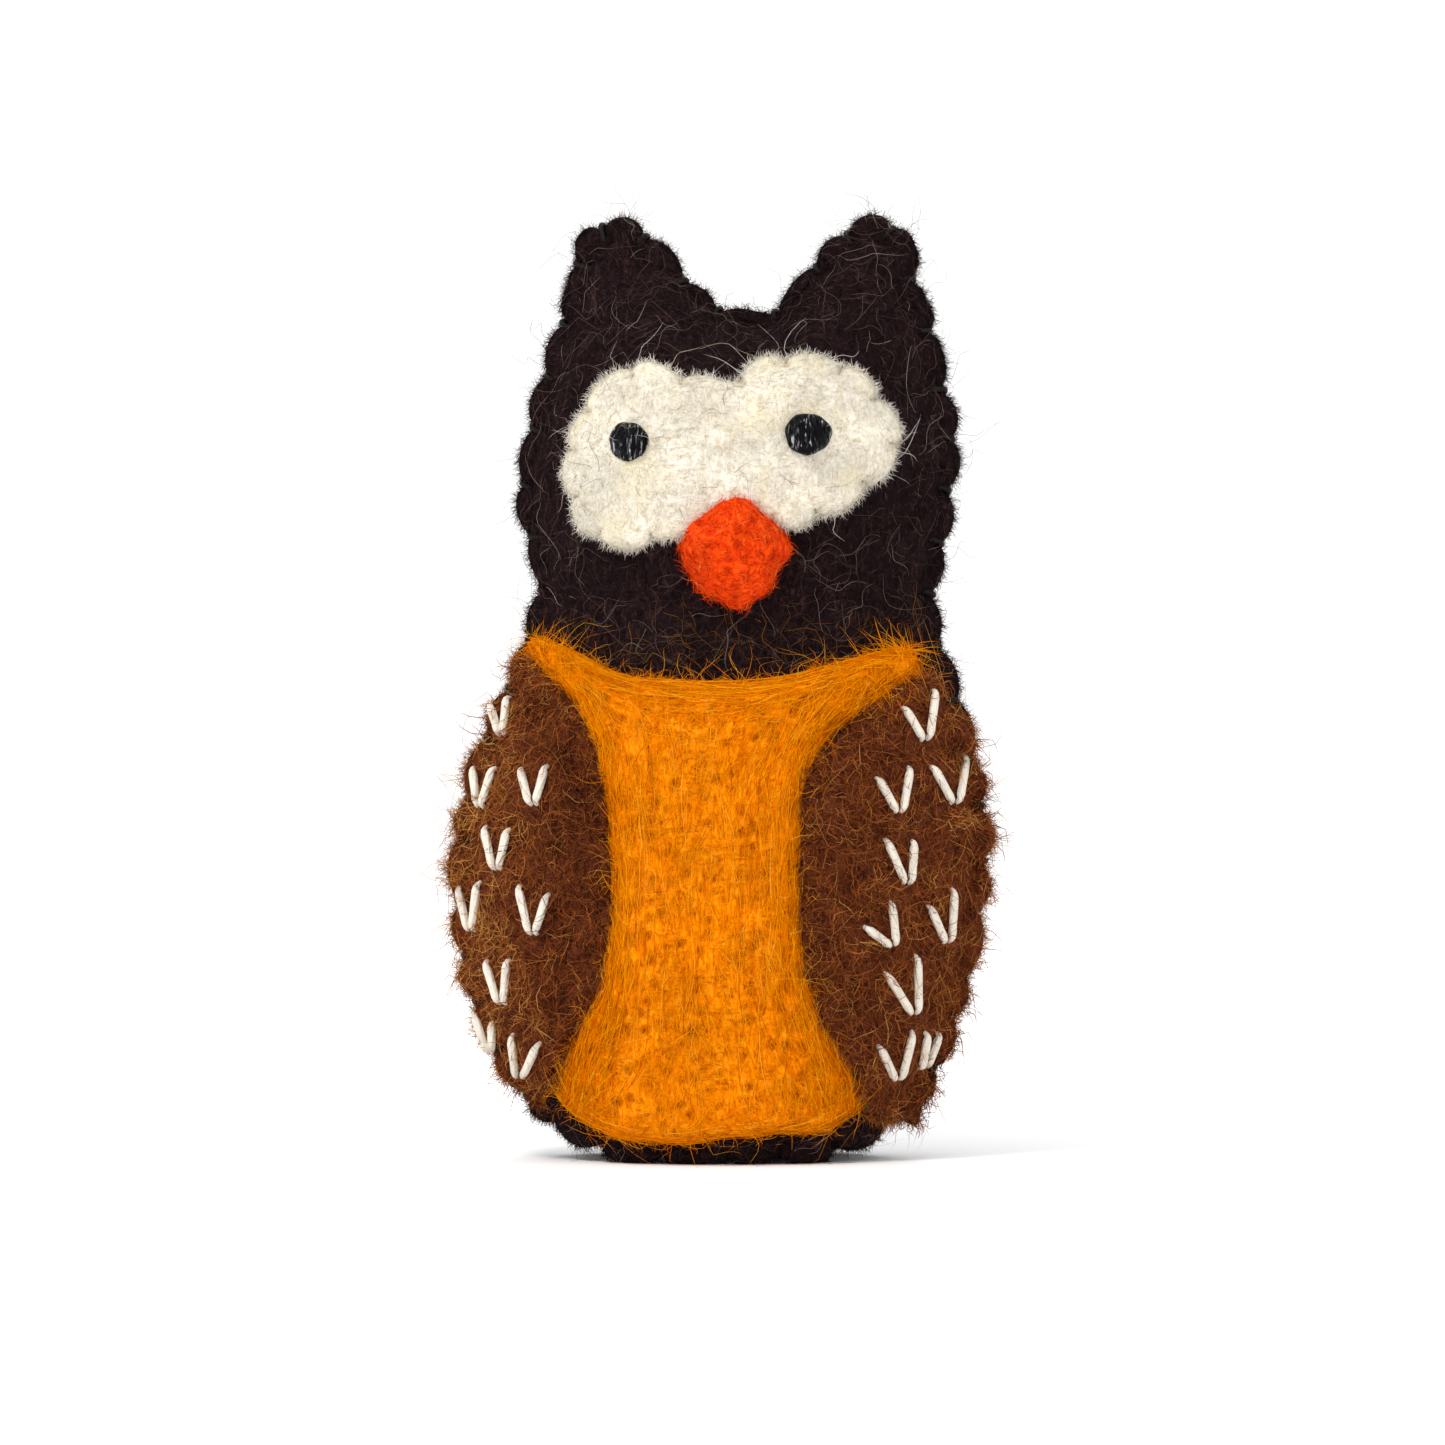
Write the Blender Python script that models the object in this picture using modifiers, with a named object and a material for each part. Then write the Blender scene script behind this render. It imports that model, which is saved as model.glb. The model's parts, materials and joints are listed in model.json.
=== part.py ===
"""A felt owl finger puppet: two felt panels sewn round the edge, wings, bib, mask, eyes and beak.

Metres, +Z up, the face towards -Y. The panels meet in the plane y = 0, and the middle of the
finger's way in is at the origin. The head nods forward about the X axis at the neck.
"""

import math

import bmesh
import bpy
import numpy as np

MM = 0.001

# Overall sizes. The outlines further down are drawn at the pattern sizes and scaled to these.
HEIGHT = 90.0 * MM
WIDTH = 52.8 * MM
TORSO_FULLNESS = 9.3 * MM
HEAD_FULLNESS = 10.0 * MM
PATTERN_HEIGHT, PATTERN_WIDTH = 90.0, 52.8

# Felt, wool and thread.
PANEL_FELT = 1.8 * MM
WING_FELT = 1.6 * MM
MASK_FELT = 1.5 * MM
BIB_WOOL = 2.2 * MM
SEAM_THREAD = 0.5 * MM
FEATHER_THREAD = 0.66 * MM

# Clearances.
SEAM_GAP = 0.3 * MM
LAYER_GAP = 0.35 * MM
THREAD_GAP = 0.4 * MM
SIDE_GAP = 0.55 * MM
STUFFING_GAP = 0.4 * MM

# The neck fold, where the head nods. Two short bands of each panel bend there.
NECK_FOLD = 52.8 / PATTERN_HEIGHT * HEIGHT
NECK_BAND = 4.9 * MM
BAND_GAP = 0.3 * MM

# Hem: level in the middle, so that the puppet stands, and rounded up at the sides.
HEM_LEVEL = 8.0 / PATTERN_WIDTH * WIDTH
HEM_RISE = 4.6 / PATTERN_HEIGHT * HEIGHT
HEM_POWER = 1.6
FLAT_HEM = 0.3 * MM

# Stitches.
SEAM_PITCH = 5.2 * MM
SEAM_BITE = 2.3 * MM
WING_BITE = 0.7 * MM
SEAM_START = 8.5
POINTS_A_STITCH = 6
FEATHER_HEIGHT = 4.2 / PATTERN_HEIGHT * HEIGHT
FEATHER_WIDTH = 2.5 / PATTERN_WIDTH * WIDTH
FEATHER_TURN = 0.42 * MM
FEATHER_FOOT = 0.35 * MM
FEATHER_CLEARANCE = 0.25 * MM

# Face.
EYE_LEFT_WIDTH, EYE_LEFT_HEIGHT = 3.7 * MM, 3.7 * MM
EYE_RIGHT_WIDTH, EYE_RIGHT_HEIGHT = 4.3 * MM, 3.8 * MM
EYE_PROUD = 1.2 * MM
BEAK_WIDTH = 10.8 * MM
BEAK_UP, BEAK_DOWN = 5.0 * MM, 5.9 * MM
BEAK_PROUD = 4.3 * MM
BEAK_CLEARANCE = 0.45 * MM
BEAK_CURVE = 1.5
BEAK_ROUNDNESS = 0.8

# Wings.
WING_OVERHANG = 0.35 * MM
WING_TOP_LEFT, WING_TOP_RIGHT = 46.9, 45.2
WING_TUCK_LEFT, WING_TUCK_RIGHT = 0.5 * MM, 2.4 * MM
TUCK_START = 38.0
CORNER_EASE = 4

# How the panels fill out: towards the sides, and under the ears.
SIDE_FLATNESS, SIDE_FALL = 2.6, 1.35
EAR_REACH = 0.11 * HEIGHT
EAR_FALL = 1.9
STUFFING_ROUNDNESS = 0.8

# Coarseness of the meshes. The spans are how wide and tall each layer is at the pattern size.
CELL = WIDTH / 20
HALF_PANEL = 0.6
EAR_RISE = 0.05 * HEIGHT
WING_SPAN = (15.0, 42.0)
BIB_SPAN = (34.0, 46.0)
MASK_SPAN = (32.0, 16.0)
MASK_FINENESS = 2
PAD_SIDES, PAD_RINGS = 20, 10
STUFFING_RINGS = 12
BEAK_HOLE_CORNERS = 32
BEAK_HOLE_DEPTH = 2 * HEAD_FULLNESS
SIDE_SAMPLES, EAR_SAMPLES = 60, 120
THREAD_ROUNDNESS = 2
SLOPE_STEP = 0.05 * MM
FOOT_ROUNDS, FOOT_STEP = 6, 0.8

# Outlines in millimetres at the pattern size: (height, place across).
LEFT_SIDE = [
    (4.6, -18.0), (9.0, -21.0), (15.0, -23.7), (22.0, -25.0), (29.0, -25.2), (36.0, -23.9),
    (43.0, -21.3), (47.0, -19.4), (51.0, -18.0), (55.0, -17.4), (59.0, -18.4), (63.0, -19.1),
    (67.0, -18.5), (71.0, -17.8), (75.0, -16.5), (79.0, -15.4), (82.0, -14.3), (85.0, -14.0),
]
RIGHT_SIDE = [
    (4.6, 18.2), (9.0, 20.7), (15.0, 22.8), (22.0, 24.4), (29.0, 25.3), (36.0, 24.6),
    (41.0, 23.3), (45.0, 22.1), (51.0, 20.4), (55.0, 20.5), (59.0, 21.3), (63.0, 21.8),
    (67.0, 22.2), (71.0, 21.8), (75.0, 20.8), (79.0, 19.7), (82.0, 18.6), (85.0, 18.2),
]
# Place across, height: over both ears from the left one's outer corner.
EARS = [
    (-14.0, 85.0), (-13.2, 87.0), (-11.6, 88.4), (-9.8, 88.7), (-7.6, 88.0), (-5.4, 86.0),
    (-3.2, 83.3), (-1.0, 81.2), (1.4, 80.1), (3.9, 79.9), (6.2, 81.4), (8.4, 84.2),
    (10.4, 86.6), (12.4, 88.2), (14.4, 88.8), (16.4, 88.2), (17.7, 86.8), (18.2, 85.0),
]
# Fullness of the puppet, as a share of the torso's or the head's: height, share.
TORSO_FULL = [(0.0, 0.94), (12.0, 1.0), (26.0, 1.0), (38.0, 0.96), (46.0, 0.88), (52.8, 0.82)]
HEAD_FULL = [
    (52.8, 0.76), (58.0, 0.88), (66.0, 1.0), (73.0, 0.92), (79.0, 0.62), (84.0, 0.26), (89.0, 0.1),
]
BIB_LEFT = [
    (6.3, -15.2), (11.0, -13.7), (16.0, -11.5), (21.0, -10.3), (30.0, -10.2), (36.0, -11.0),
    (40.0, -12.0), (43.5, -14.0), (46.0, -16.3), (48.0, -18.2),
]
BIB_RIGHT = [
    (5.2, 13.0), (9.5, 11.2), (14.0, 9.0), (18.0, 7.6), (22.0, 7.2), (32.0, 7.2),
    (37.0, 7.9), (40.0, 10.0), (42.6, 13.2), (44.6, 16.4), (46.0, 18.6),
]
BIB_TOP = [
    (-18.2, 48.0), (-17.4, 49.0), (-15.5, 48.4), (-12.9, 47.0), (-8.8, 45.5), (-4.0, 45.0),
    (1.0, 45.0), (6.0, 45.4), (10.6, 46.6), (14.6, 47.6), (17.4, 48.0), (18.6, 46.0),
]
BIB_BOTTOM = [
    (-15.2, 6.3), (-13.2, 4.3), (-10.2, 2.9), (-5.0, 2.4), (0.0, 2.8), (5.0, 3.2), (9.8, 3.5),
    (13.0, 5.2),
]
MASK_TOP = [
    (-13.4, 71.4), (-11.7, 73.2), (-9.4, 74.9), (-7.1, 75.5), (-4.5, 74.8), (-1.3, 74.1),
    (0.4, 73.8), (2.2, 75.0), (4.5, 76.0), (6.9, 76.3), (9.4, 76.0), (12.2, 75.1), (14.8, 73.2),
]
MASK_RIGHT = [(14.2, 62.9), (15.6, 64.4), (16.5, 66.0), (17.2, 68.0), (16.4, 70.4), (14.8, 73.2)]
MASK_BOTTOM = [
    (-13.4, 59.2), (-11.4, 58.0), (-9.0, 57.5), (-6.5, 57.6), (-4.4, 58.4), (0.0, 59.2),
    (4.0, 59.4), (7.4, 59.5), (10.4, 60.5), (12.3, 61.7), (14.2, 62.9),
]
MASK_LEFT = [(-13.4, 59.2), (-14.7, 61.9), (-15.1, 64.9), (-14.7, 67.7), (-13.4, 71.4)]
WING_LEFT_BOTTOM = [(-20.6, 7.6), (-19.3, 5.9), (-18.0, 5.0), (-16.6, 5.0)]
WING_RIGHT_BOTTOM = [(14.2, 4.4), (16.0, 3.3), (18.2, 3.2), (19.7, 5.2), (20.3, 7.6)]

# Middles of the face pieces.
EYE_LEFT_AT = (-8.7, 67.8)
EYE_RIGHT_AT = (8.1, 68.5)
BEAK_AT = (1.2, 57.8)
STUFFING_AT = (1.3, 67.2)
STUFFING_HALF_WIDTH, STUFFING_HALF_HEIGHT = 15.0, 10.6

# Feather stitches: place across and height of the point, width as a share, lean in degrees.
FEATHERS = {
    "left": [
        (-20.0, 39.4, 0.65, 2), (-22.4, 33.4, 0.85, 3), (-17.6, 33.5, 1.0, 1), (-21.0, 27.5, 0.9, 0),
        (-23.3, 21.5, 0.75, 0), (-17.6, 21.5, 1.15, 1), (-20.6, 14.8, 0.9, -9),
        (-20.6, 10.2, 0.6, -18), (-18.3, 7.8, 0.95, 8),
    ],
    "right": [
        (18.9, 39.6, 1.2, -8), (16.5, 32.9, 1.2, -10), (21.8, 33.6, 1.2, -10), (17.2, 26.3, 1.0, -14),
        (15.8, 20.4, 0.9, -16), (21.2, 20.5, 0.9, -12), (17.9, 13.9, 1.1, -20),
        (16.4, 7.6, 1.2, -2), (19.5, 8.8, 0.6, 4),
    ],
}

COLOURS = {
    "dark_brown_felt": ((0.024, 0.012, 0.013), 0.95),
    "mid_brown_felt": ((0.105, 0.034, 0.014), 0.95),
    "cream_felt": ((0.80, 0.75, 0.64), 0.95),
    "yellow_orange_wool": ((0.90, 0.32, 0.004), 0.9),
    "orange_red_wool": ((0.86, 0.075, 0.004), 0.9),
    "dark_thread": ((0.016, 0.009, 0.010), 0.8),
    "cream_thread": ((0.72, 0.67, 0.56), 0.7),
    "black_thread": ((0.008, 0.009, 0.012), 0.5),
    "stuffing_wool": ((0.75, 0.70, 0.60), 1.0),
}


def across(value):
    """A pattern width in metres."""
    return value * WIDTH / PATTERN_WIDTH


def up(value):
    """A pattern height in metres."""
    return value * HEIGHT / PATTERN_HEIGHT


def smooth(knots, values, at):
    """A smooth curve through the values, by cubic pieces that share their slopes."""
    knots = np.asarray(knots, float)
    values = np.asarray(values, float)
    slopes = np.gradient(values, knots)
    at = np.clip(at, knots[0], knots[-1])
    i = np.clip(np.searchsorted(knots, at, side="right") - 1, 0, len(knots) - 2)
    step = knots[i + 1] - knots[i]
    f = (at - knots[i]) / step
    ends = values[i] * (1 + 2 * f) * (1 - f) ** 2 + values[i + 1] * f**2 * (3 - 2 * f)
    return ends + step * (slopes[i] * f * (1 - f) ** 2 - slopes[i + 1] * f**2 * (1 - f))


def side_at(outline, z):
    """Where an outline lies across at this height, in metres."""
    heights, places = zip(*outline)
    return smooth(up(np.array(heights)), across(np.array(places)), z)


def ears_at(x):
    places, heights = zip(*EARS)
    return smooth(across(np.array(places)), up(np.array(heights)), x)


def hem_at(x):
    """The hem's height: level in the middle, then rising to the side seams."""
    corner = -side_at(LEFT_SIDE, 0.0)
    f = np.clip((np.abs(x) - HEM_LEVEL) / (corner - HEM_LEVEL), 0, 1)
    return HEM_RISE * f**HEM_POWER


def fullness(x, z):
    """How far the panels stand apart at a point of the front, beyond the seam's gap, halved."""
    left = side_at(LEFT_SIDE, z)
    right = side_at(RIGHT_SIDE, z)
    u = np.clip(np.abs(2 * x - left - right) / (right - left), 0, 1)
    torso_z, torso_share = zip(*TORSO_FULL)
    head_z, head_share = zip(*HEAD_FULL)
    torso = TORSO_FULLNESS * smooth(up(np.array(torso_z)), torso_share, z)
    head = HEAD_FULLNESS * smooth(up(np.array(head_z)), head_share, z)
    deep = np.where(z < NECK_FOLD, torso, head)
    under_edge = np.clip((ears_at(x) - z) / EAR_REACH, 0, 1)
    return deep * (1 - u**SIDE_FLATNESS) ** SIDE_FALL * (1 - (1 - under_edge) ** EAR_FALL)


def slopes(x, z):
    """How steeply the panel falls across and up, and the length of its normal over its depth."""
    slope_x = (fullness(x + SLOPE_STEP, z) - fullness(x - SLOPE_STEP, z)) / (2 * SLOPE_STEP)
    slope_z = (fullness(x, z + SLOPE_STEP) - fullness(x, z - SLOPE_STEP)) / (2 * SLOPE_STEP)
    return slope_x, slope_z, np.sqrt(1 + slope_x**2 + slope_z**2)


def panel_point(x, z, lift=0.0, side=-1):
    """The point of a panel's outer face, moved out along its normal. side -1 is the front."""
    slope_x, slope_z, length = slopes(x, z)
    depth = SEAM_GAP / 2 + PANEL_FELT + fullness(x, z) + lift / length
    return x - lift * slope_x / length, side * depth, z - lift * slope_z / length


def over_panel(x, z, lift, side=-1):
    """The point straight before (x, z) that stands this far off the panel's outer face. Its foot
    on the panel is found in rounds, each moving it by a share of what it still misses by."""
    px, pz = x, z
    for _ in range(FOOT_ROUNDS):
        spot = panel_point(px, pz, lift, side)
        px, pz = px + FOOT_STEP * (x - spot[0]), pz + FOOT_STEP * (z - spot[2])
    return panel_point(px, pz, lift, side)


def inner_depth(x, z):
    """The space from the seam's plane to a panel's inner face, along Y."""
    felt = PANEL_FELT * slopes(x, z)[2]
    return SEAM_GAP / 2 + PANEL_FELT + fullness(x, z) - felt


def route(points, at):
    """Points along a smooth curve through pattern points, by share of its length."""
    points = np.array(points, float)
    along = np.concatenate([[0], np.cumsum(np.hypot(*np.diff(points, axis=0).T))])
    at = np.asarray(at, float) * along[-1]
    return across(smooth(along, points[:, 0], at)), up(smooth(along, points[:, 1], at))


def four_sided(bottom, right, top, left, s, t):
    """A patch between four edges, each a function of a share of its length (Coons)."""
    xb, zb = bottom(s)
    xt, zt = top(s)
    xl, zl = left(t)
    xr, zr = right(t)
    first, last = np.zeros_like(s), np.ones_like(s)
    corners = [bottom(first), bottom(last), top(first), top(last)]
    shares = [(1 - s) * (1 - t), s * (1 - t), (1 - s) * t, s * t]
    x = (1 - t) * xb + t * xt + (1 - s) * xl + s * xr
    z = (1 - t) * zb + t * zt + (1 - s) * zl + s * zr
    for corner, share in zip(corners, shares):
        x = x - share * corner[0]
        z = z - share * corner[1]
    return x, z


def material(name):
    colour, roughness = COLOURS[name]
    made = bpy.data.materials.get(name)
    if made is None:
        made = bpy.data.materials.new(name)
        made.use_nodes = True
        shader = made.node_tree.nodes["Principled BSDF"]
        shader.inputs["Base Color"].default_value = (*colour, 1)
        shader.inputs["Roughness"].default_value = roughness
        shader.inputs["Metallic"].default_value = 0.0
    return made


def add_object(name, data, finish, collection):
    made = bpy.data.objects.new(name, data)
    data.materials.append(material(finish))
    collection.objects.link(made)
    return made


def shaped_grid(name, columns, rows, place, finish, collection, turned=False):
    """A grid primitive whose points a function of two shares puts in place."""
    cage = bmesh.new()
    bmesh.ops.create_grid(cage, x_segments=columns, y_segments=rows, size=1.0)
    flat = np.array([v.co[:2] for v in cage.verts])
    s, t = (flat.T + 1) / 2
    x, y, z = place(1 - s if turned else s, t)
    for vertex, spot in zip(cage.verts, zip(x, y, z)):
        vertex.co = spot
    mesh = bpy.data.meshes.new(name)
    cage.to_mesh(mesh)
    cage.free()
    return add_object(name, mesh, finish, collection)


def thicken(piece, felt):
    """Solidify: the felt or wool grows inward from its outer face."""
    wall = piece.modifiers.new("felt", "SOLIDIFY")
    wall.thickness = felt
    wall.offset = -1.0


def cells(length):
    return max(3, round(length / CELL))


def applied(piece):
    """The object with its modifiers made part of its mesh."""
    graph = bpy.context.evaluated_depsgraph_get()
    piece.data = bpy.data.meshes.new_from_object(piece.evaluated_get(graph))
    piece.modifiers.clear()
    return piece


def level_hem(piece):
    """Puts the hem's middle exactly in the plane z = 0."""
    applied(piece)
    for vertex in piece.data.vertices:
        if vertex.co.z < FLAT_HEM:
            vertex.co.z = 0.0


def panel(name, side, low, high, collection, ears=False, hem=False):
    """One stretch of the front or back panel between two heights, the ears or the hem."""

    def left(t):
        z = low + (high - low) * t
        return side_at(LEFT_SIDE, z), z

    def right(t):
        z = low + (high - low) * t
        return side_at(RIGHT_SIDE, z), z

    def bottom(s):
        start, end = side_at(LEFT_SIDE, low), side_at(RIGHT_SIDE, low)
        x = start + (end - start) * s
        return x, hem_at(x) if hem else np.full_like(x, low)

    def top(s):
        start, end = side_at(LEFT_SIDE, high), side_at(RIGHT_SIDE, high)
        x = start + (end - start) * s
        return x, ears_at(x) if ears else np.full_like(x, high)

    def place(s, t):
        x, z = four_sided(bottom, right, top, left, s, t)
        return panel_point(x, z, side=side)

    wide = side_at(RIGHT_SIDE, high) - side_at(LEFT_SIDE, high)
    columns = 2 * cells(HALF_PANEL * wide)
    rows = cells(high - low + (EAR_RISE if ears else 0))
    piece = shaped_grid(name, columns, rows, place, "dark_brown_felt", collection, turned=side > 0)
    thicken(piece, PANEL_FELT)
    return piece


def layer(name, edges, lift, felt, finish, collection, columns, rows):
    """A piece of felt or wool that lies on the front panel, between four edges."""

    def place(s, t):
        x, z = four_sided(*edges, s, t)
        return over_panel(x, z, lift + felt)

    piece = shaped_grid(name, columns, rows, place, finish, collection)
    thicken(piece, felt)
    return piece


def wing_edge(side, z):
    """The wing's outer edge: a little outside the panel's, tucked in at the shoulder."""
    outline, sign, top, tuck = (
        (LEFT_SIDE, -1, WING_TOP_LEFT, WING_TUCK_LEFT)
        if side == "left"
        else (RIGHT_SIDE, 1, WING_TOP_RIGHT, WING_TUCK_RIGHT)
    )
    f = np.clip((z - up(TUCK_START)) / up(top - TUCK_START), 0, 1)
    return side_at(outline, z) + sign * (WING_OVERHANG - tuck * f**2)


def make_wing(side, collection):
    """A wing between the bib's side and the side seam, from the hem to under the strap."""
    left = side == "left"
    top = up(WING_TOP_LEFT if left else WING_TOP_RIGHT)
    lower = WING_LEFT_BOTTOM if left else WING_RIGHT_BOTTOM
    bib, sign = (BIB_LEFT, -1) if left else (BIB_RIGHT, 1)

    def outer(t):
        low = up(lower[0][1] if left else lower[-1][1])
        z = low + (top - low) * t
        start = across(lower[0][0] if left else lower[-1][0])
        x = wing_edge(side, z)
        return x + (start - wing_edge(side, low)) * (1 - t) ** CORNER_EASE, z

    def inner(t):
        low = up(lower[-1][1] if left else lower[0][1])
        z = low + (top - low) * t
        start = across(lower[-1][0] if left else lower[0][0])
        x = side_at(bib, z) + sign * SIDE_GAP
        return x + (start - side_at(bib, low) - sign * SIDE_GAP) * (1 - t) ** CORNER_EASE, z

    def bottom(s):
        return route(lower, s)

    def upper(s):
        ends = (outer(1.0)[0], inner(1.0)[0]) if left else (inner(1.0)[0], outer(1.0)[0])
        return ends[0] + (ends[1] - ends[0]) * s, np.full_like(s, top)

    edges = (bottom, inner, upper, outer) if left else (bottom, outer, upper, inner)
    return layer(
        f"wing_{side}", edges, LAYER_GAP, WING_FELT, "mid_brown_felt", collection,
        cells(across(WING_SPAN[0])), cells(up(WING_SPAN[1])),
    )


def make_bib(collection):
    def left(t):
        z = up(BIB_LEFT[0][0]) + up(BIB_LEFT[-1][0] - BIB_LEFT[0][0]) * t
        return side_at(BIB_LEFT, z), z

    def right(t):
        z = up(BIB_RIGHT[0][0]) + up(BIB_RIGHT[-1][0] - BIB_RIGHT[0][0]) * t
        return side_at(BIB_RIGHT, z), z

    edges = (lambda s: route(BIB_BOTTOM, s), right, lambda s: route(BIB_TOP, s), left)
    return layer(
        "bib", edges, LAYER_GAP, BIB_WOOL, "yellow_orange_wool", collection,
        cells(across(BIB_SPAN[0])), cells(up(BIB_SPAN[1])),
    )


def beak_outline(angle, grow=0.0):
    """A rounded diamond, a little longer below than above."""
    c, s = np.cos(angle), np.sin(angle)
    tall = np.where(s > 0, BEAK_UP, BEAK_DOWN) + grow
    wide = BEAK_WIDTH / 2 + grow
    total = np.abs(c / wide) ** BEAK_CURVE + np.abs(s / tall) ** BEAK_CURVE
    reach = total ** (-1 / BEAK_CURVE)
    return reach * c, reach * s


def make_mask(collection, cutters):
    """The cream mask, cut away round the beak."""
    edges = tuple(
        lambda share, points=points: route(points, share)
        for points in (MASK_BOTTOM, MASK_RIGHT, MASK_TOP, MASK_LEFT)
    )
    mask = layer(
        "face_mask", edges, LAYER_GAP, MASK_FELT, "cream_felt", collection,
        MASK_FINENESS * cells(across(MASK_SPAN[0])), MASK_FINENESS * (cells(up(MASK_SPAN[1])) - 1),
    )
    angles = np.linspace(0, 2 * math.pi, BEAK_HOLE_CORNERS, endpoint=False)
    x, z = beak_outline(angles, BEAK_CLEARANCE)
    ring = [(across(BEAK_AT[0]) + a, -BEAK_HOLE_DEPTH, up(BEAK_AT[1]) + b) for a, b in zip(x, z)]
    cage = bmesh.new()
    face = cage.faces.new([cage.verts.new(spot) for spot in ring])
    grown = bmesh.ops.extrude_face_region(cage, geom=[face])["geom"]
    moved = [v for v in grown if isinstance(v, bmesh.types.BMVert)]
    bmesh.ops.translate(cage, verts=moved, vec=(0, BEAK_HOLE_DEPTH, 0))
    bmesh.ops.recalc_face_normals(cage, faces=cage.faces)
    mesh = bpy.data.meshes.new("beak_cutter")
    cage.to_mesh(mesh)
    cage.free()
    cutter = add_object("beak_cutter", mesh, "orange_red_wool", cutters)
    cutter.hide_render = True
    cutter.display_type = "WIRE"
    cut = mask.modifiers.new("round_the_beak", "BOOLEAN")
    cut.object = cutter
    cut.operation = "DIFFERENCE"
    return mask


def make_pad(name, at, outline, lift, proud, finish, collection, power=1.0):
    """A domed pad on the front panel, from a sphere primitive with its back laid on the panel."""
    cage = bmesh.new()
    bmesh.ops.create_uvsphere(cage, u_segments=PAD_SIDES, v_segments=PAD_RINGS, radius=1.0)
    ball = np.array([v.co for v in cage.verts])
    ring = np.hypot(ball[:, 0], ball[:, 1])
    px, pz = outline(np.arctan2(ball[:, 1], ball[:, 0]))
    x = across(at[0]) + ring * px
    z = up(at[1]) + ring * pz
    dome = np.clip(ball[:, 2], 0, 1) ** power
    spots = over_panel(x, z, lift + proud * dome)
    for vertex, spot in zip(cage.verts, zip(*spots)):
        vertex.co = spot
    mesh = bpy.data.meshes.new(name)
    cage.to_mesh(mesh)
    cage.free()
    return add_object(name, mesh, finish, collection)


def oval(width, height):
    return lambda angle: (width / 2 * np.cos(angle), height / 2 * np.sin(angle))


def make_stuffing(collection):
    """The ball of wool that fills the head, kept inside the panels."""
    cage = bmesh.new()
    bmesh.ops.create_uvsphere(cage, u_segments=PAD_SIDES, v_segments=STUFFING_RINGS, radius=1.0)
    for vertex in cage.verts:
        a, b, c = vertex.co
        x = across(STUFFING_AT[0] + STUFFING_HALF_WIDTH * a)
        z = up(STUFFING_AT[1] + STUFFING_HALF_HEIGHT * c)
        deep = float(inner_depth(x, z)) - STUFFING_GAP
        vertex.co = x, deep * math.copysign(abs(b) ** STUFFING_ROUNDNESS, b), z
    mesh = bpy.data.meshes.new("head_stuffing")
    cage.to_mesh(mesh)
    cage.free()
    return add_object("head_stuffing", mesh, "stuffing_wool", collection)


def make_thread(name, points, thickness, finish, collection):
    curve = bpy.data.curves.new(name, "CURVE")
    curve.dimensions = "3D"
    curve.bevel_depth = thickness / 2
    curve.bevel_resolution = THREAD_ROUNDNESS
    curve.use_fill_caps = True
    line = curve.splines.new("POLY")
    line.points.add(len(points) - 1)
    for spot, point in zip(points, line.points):
        point.co = (*spot, 1)
    return add_object(name, curve, finish, collection)


def overcast(name, edge_x, edge_z, in_x, in_z, front_lift, collection):
    """A thread that goes over the edge from front to back and back again all along an edge.

    Of a stitch's six points the first bites into the front and the fourth into the back. The
    others turn outside the edge, the sixth and the second on the front."""
    over = THREAD_GAP + SEAM_THREAD / 2
    points = []
    for i, (x, z, nx, nz, lift) in enumerate(zip(edge_x, edge_z, in_x, in_z, front_lift)):
        phase = i % POINTS_A_STITCH
        front_bite = WING_BITE if lift > 0 else SEAM_BITE
        bite = {0: front_bite, 3: SEAM_BITE}.get(phase, -over)
        side = -1 if phase in (5, 0, 1) else 1
        clear = (lift if side < 0 else 0.0) + over
        flat_x, flat_z = x + nx * bite, z + nz * bite
        if bite > 0:
            points.append([float(v) for v in over_panel(flat_x, flat_z, clear, side)])
        else:
            depth = SEAM_GAP / 2 + PANEL_FELT + clear
            points.append([float(flat_x), float(side * depth), float(flat_z)])
    return make_thread(name, points, SEAM_THREAD, "dark_thread", collection)


def side_seam(side, collection):
    """The seam of one side of the torso, which also holds the wing."""
    outline, inward = (LEFT_SIDE, 1) if side == "left" else (RIGHT_SIDE, -1)
    wing_top = up(WING_TOP_LEFT if side == "left" else WING_TOP_RIGHT)
    low, high = up(SEAM_START), NECK_FOLD - NECK_BAND / 2 - BAND_GAP - SEAM_THREAD
    count = POINTS_A_STITCH * round((high - low) / SEAM_PITCH) + 1
    z = np.linspace(low, high, count)
    winged = z < wing_top + WING_FELT
    edge = np.where(winged, side_at(outline, z) - inward * WING_OVERHANG, side_at(outline, z))
    lift = np.where(winged, LAYER_GAP + WING_FELT, 0.0)
    return overcast(
        f"seam_thread_{side}", edge, z, np.full(count, inward), np.zeros(count), lift, collection
    )


def head_seam(collection):
    """The seam round the head, from the neck's left over both ears to its right."""
    low = NECK_FOLD + NECK_BAND / 2 + BAND_GAP + SEAM_THREAD
    top = up(EARS[0][1])
    rise = np.linspace(low, top, SIDE_SAMPLES)
    over_x = np.linspace(across(EARS[0][0]), across(EARS[-1][0]), EAR_SAMPLES)[1:-1]
    x = np.concatenate([side_at(LEFT_SIDE, rise), over_x, side_at(RIGHT_SIDE, rise[::-1])])
    z = np.concatenate([rise, ears_at(over_x), rise[::-1]])
    along = np.concatenate([[0], np.cumsum(np.hypot(np.diff(x), np.diff(z)))])
    count = POINTS_A_STITCH * round(along[-1] / SEAM_PITCH) + 1
    at = np.linspace(0, along[-1], count)
    x, z = np.interp(at, along, x), np.interp(at, along, z)
    run_x, run_z = np.gradient(x), np.gradient(z)
    length = np.hypot(run_x, run_z)
    return overcast(
        "seam_thread_head", x, z, run_z / length, -run_x / length, np.zeros(count), collection
    )


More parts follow.
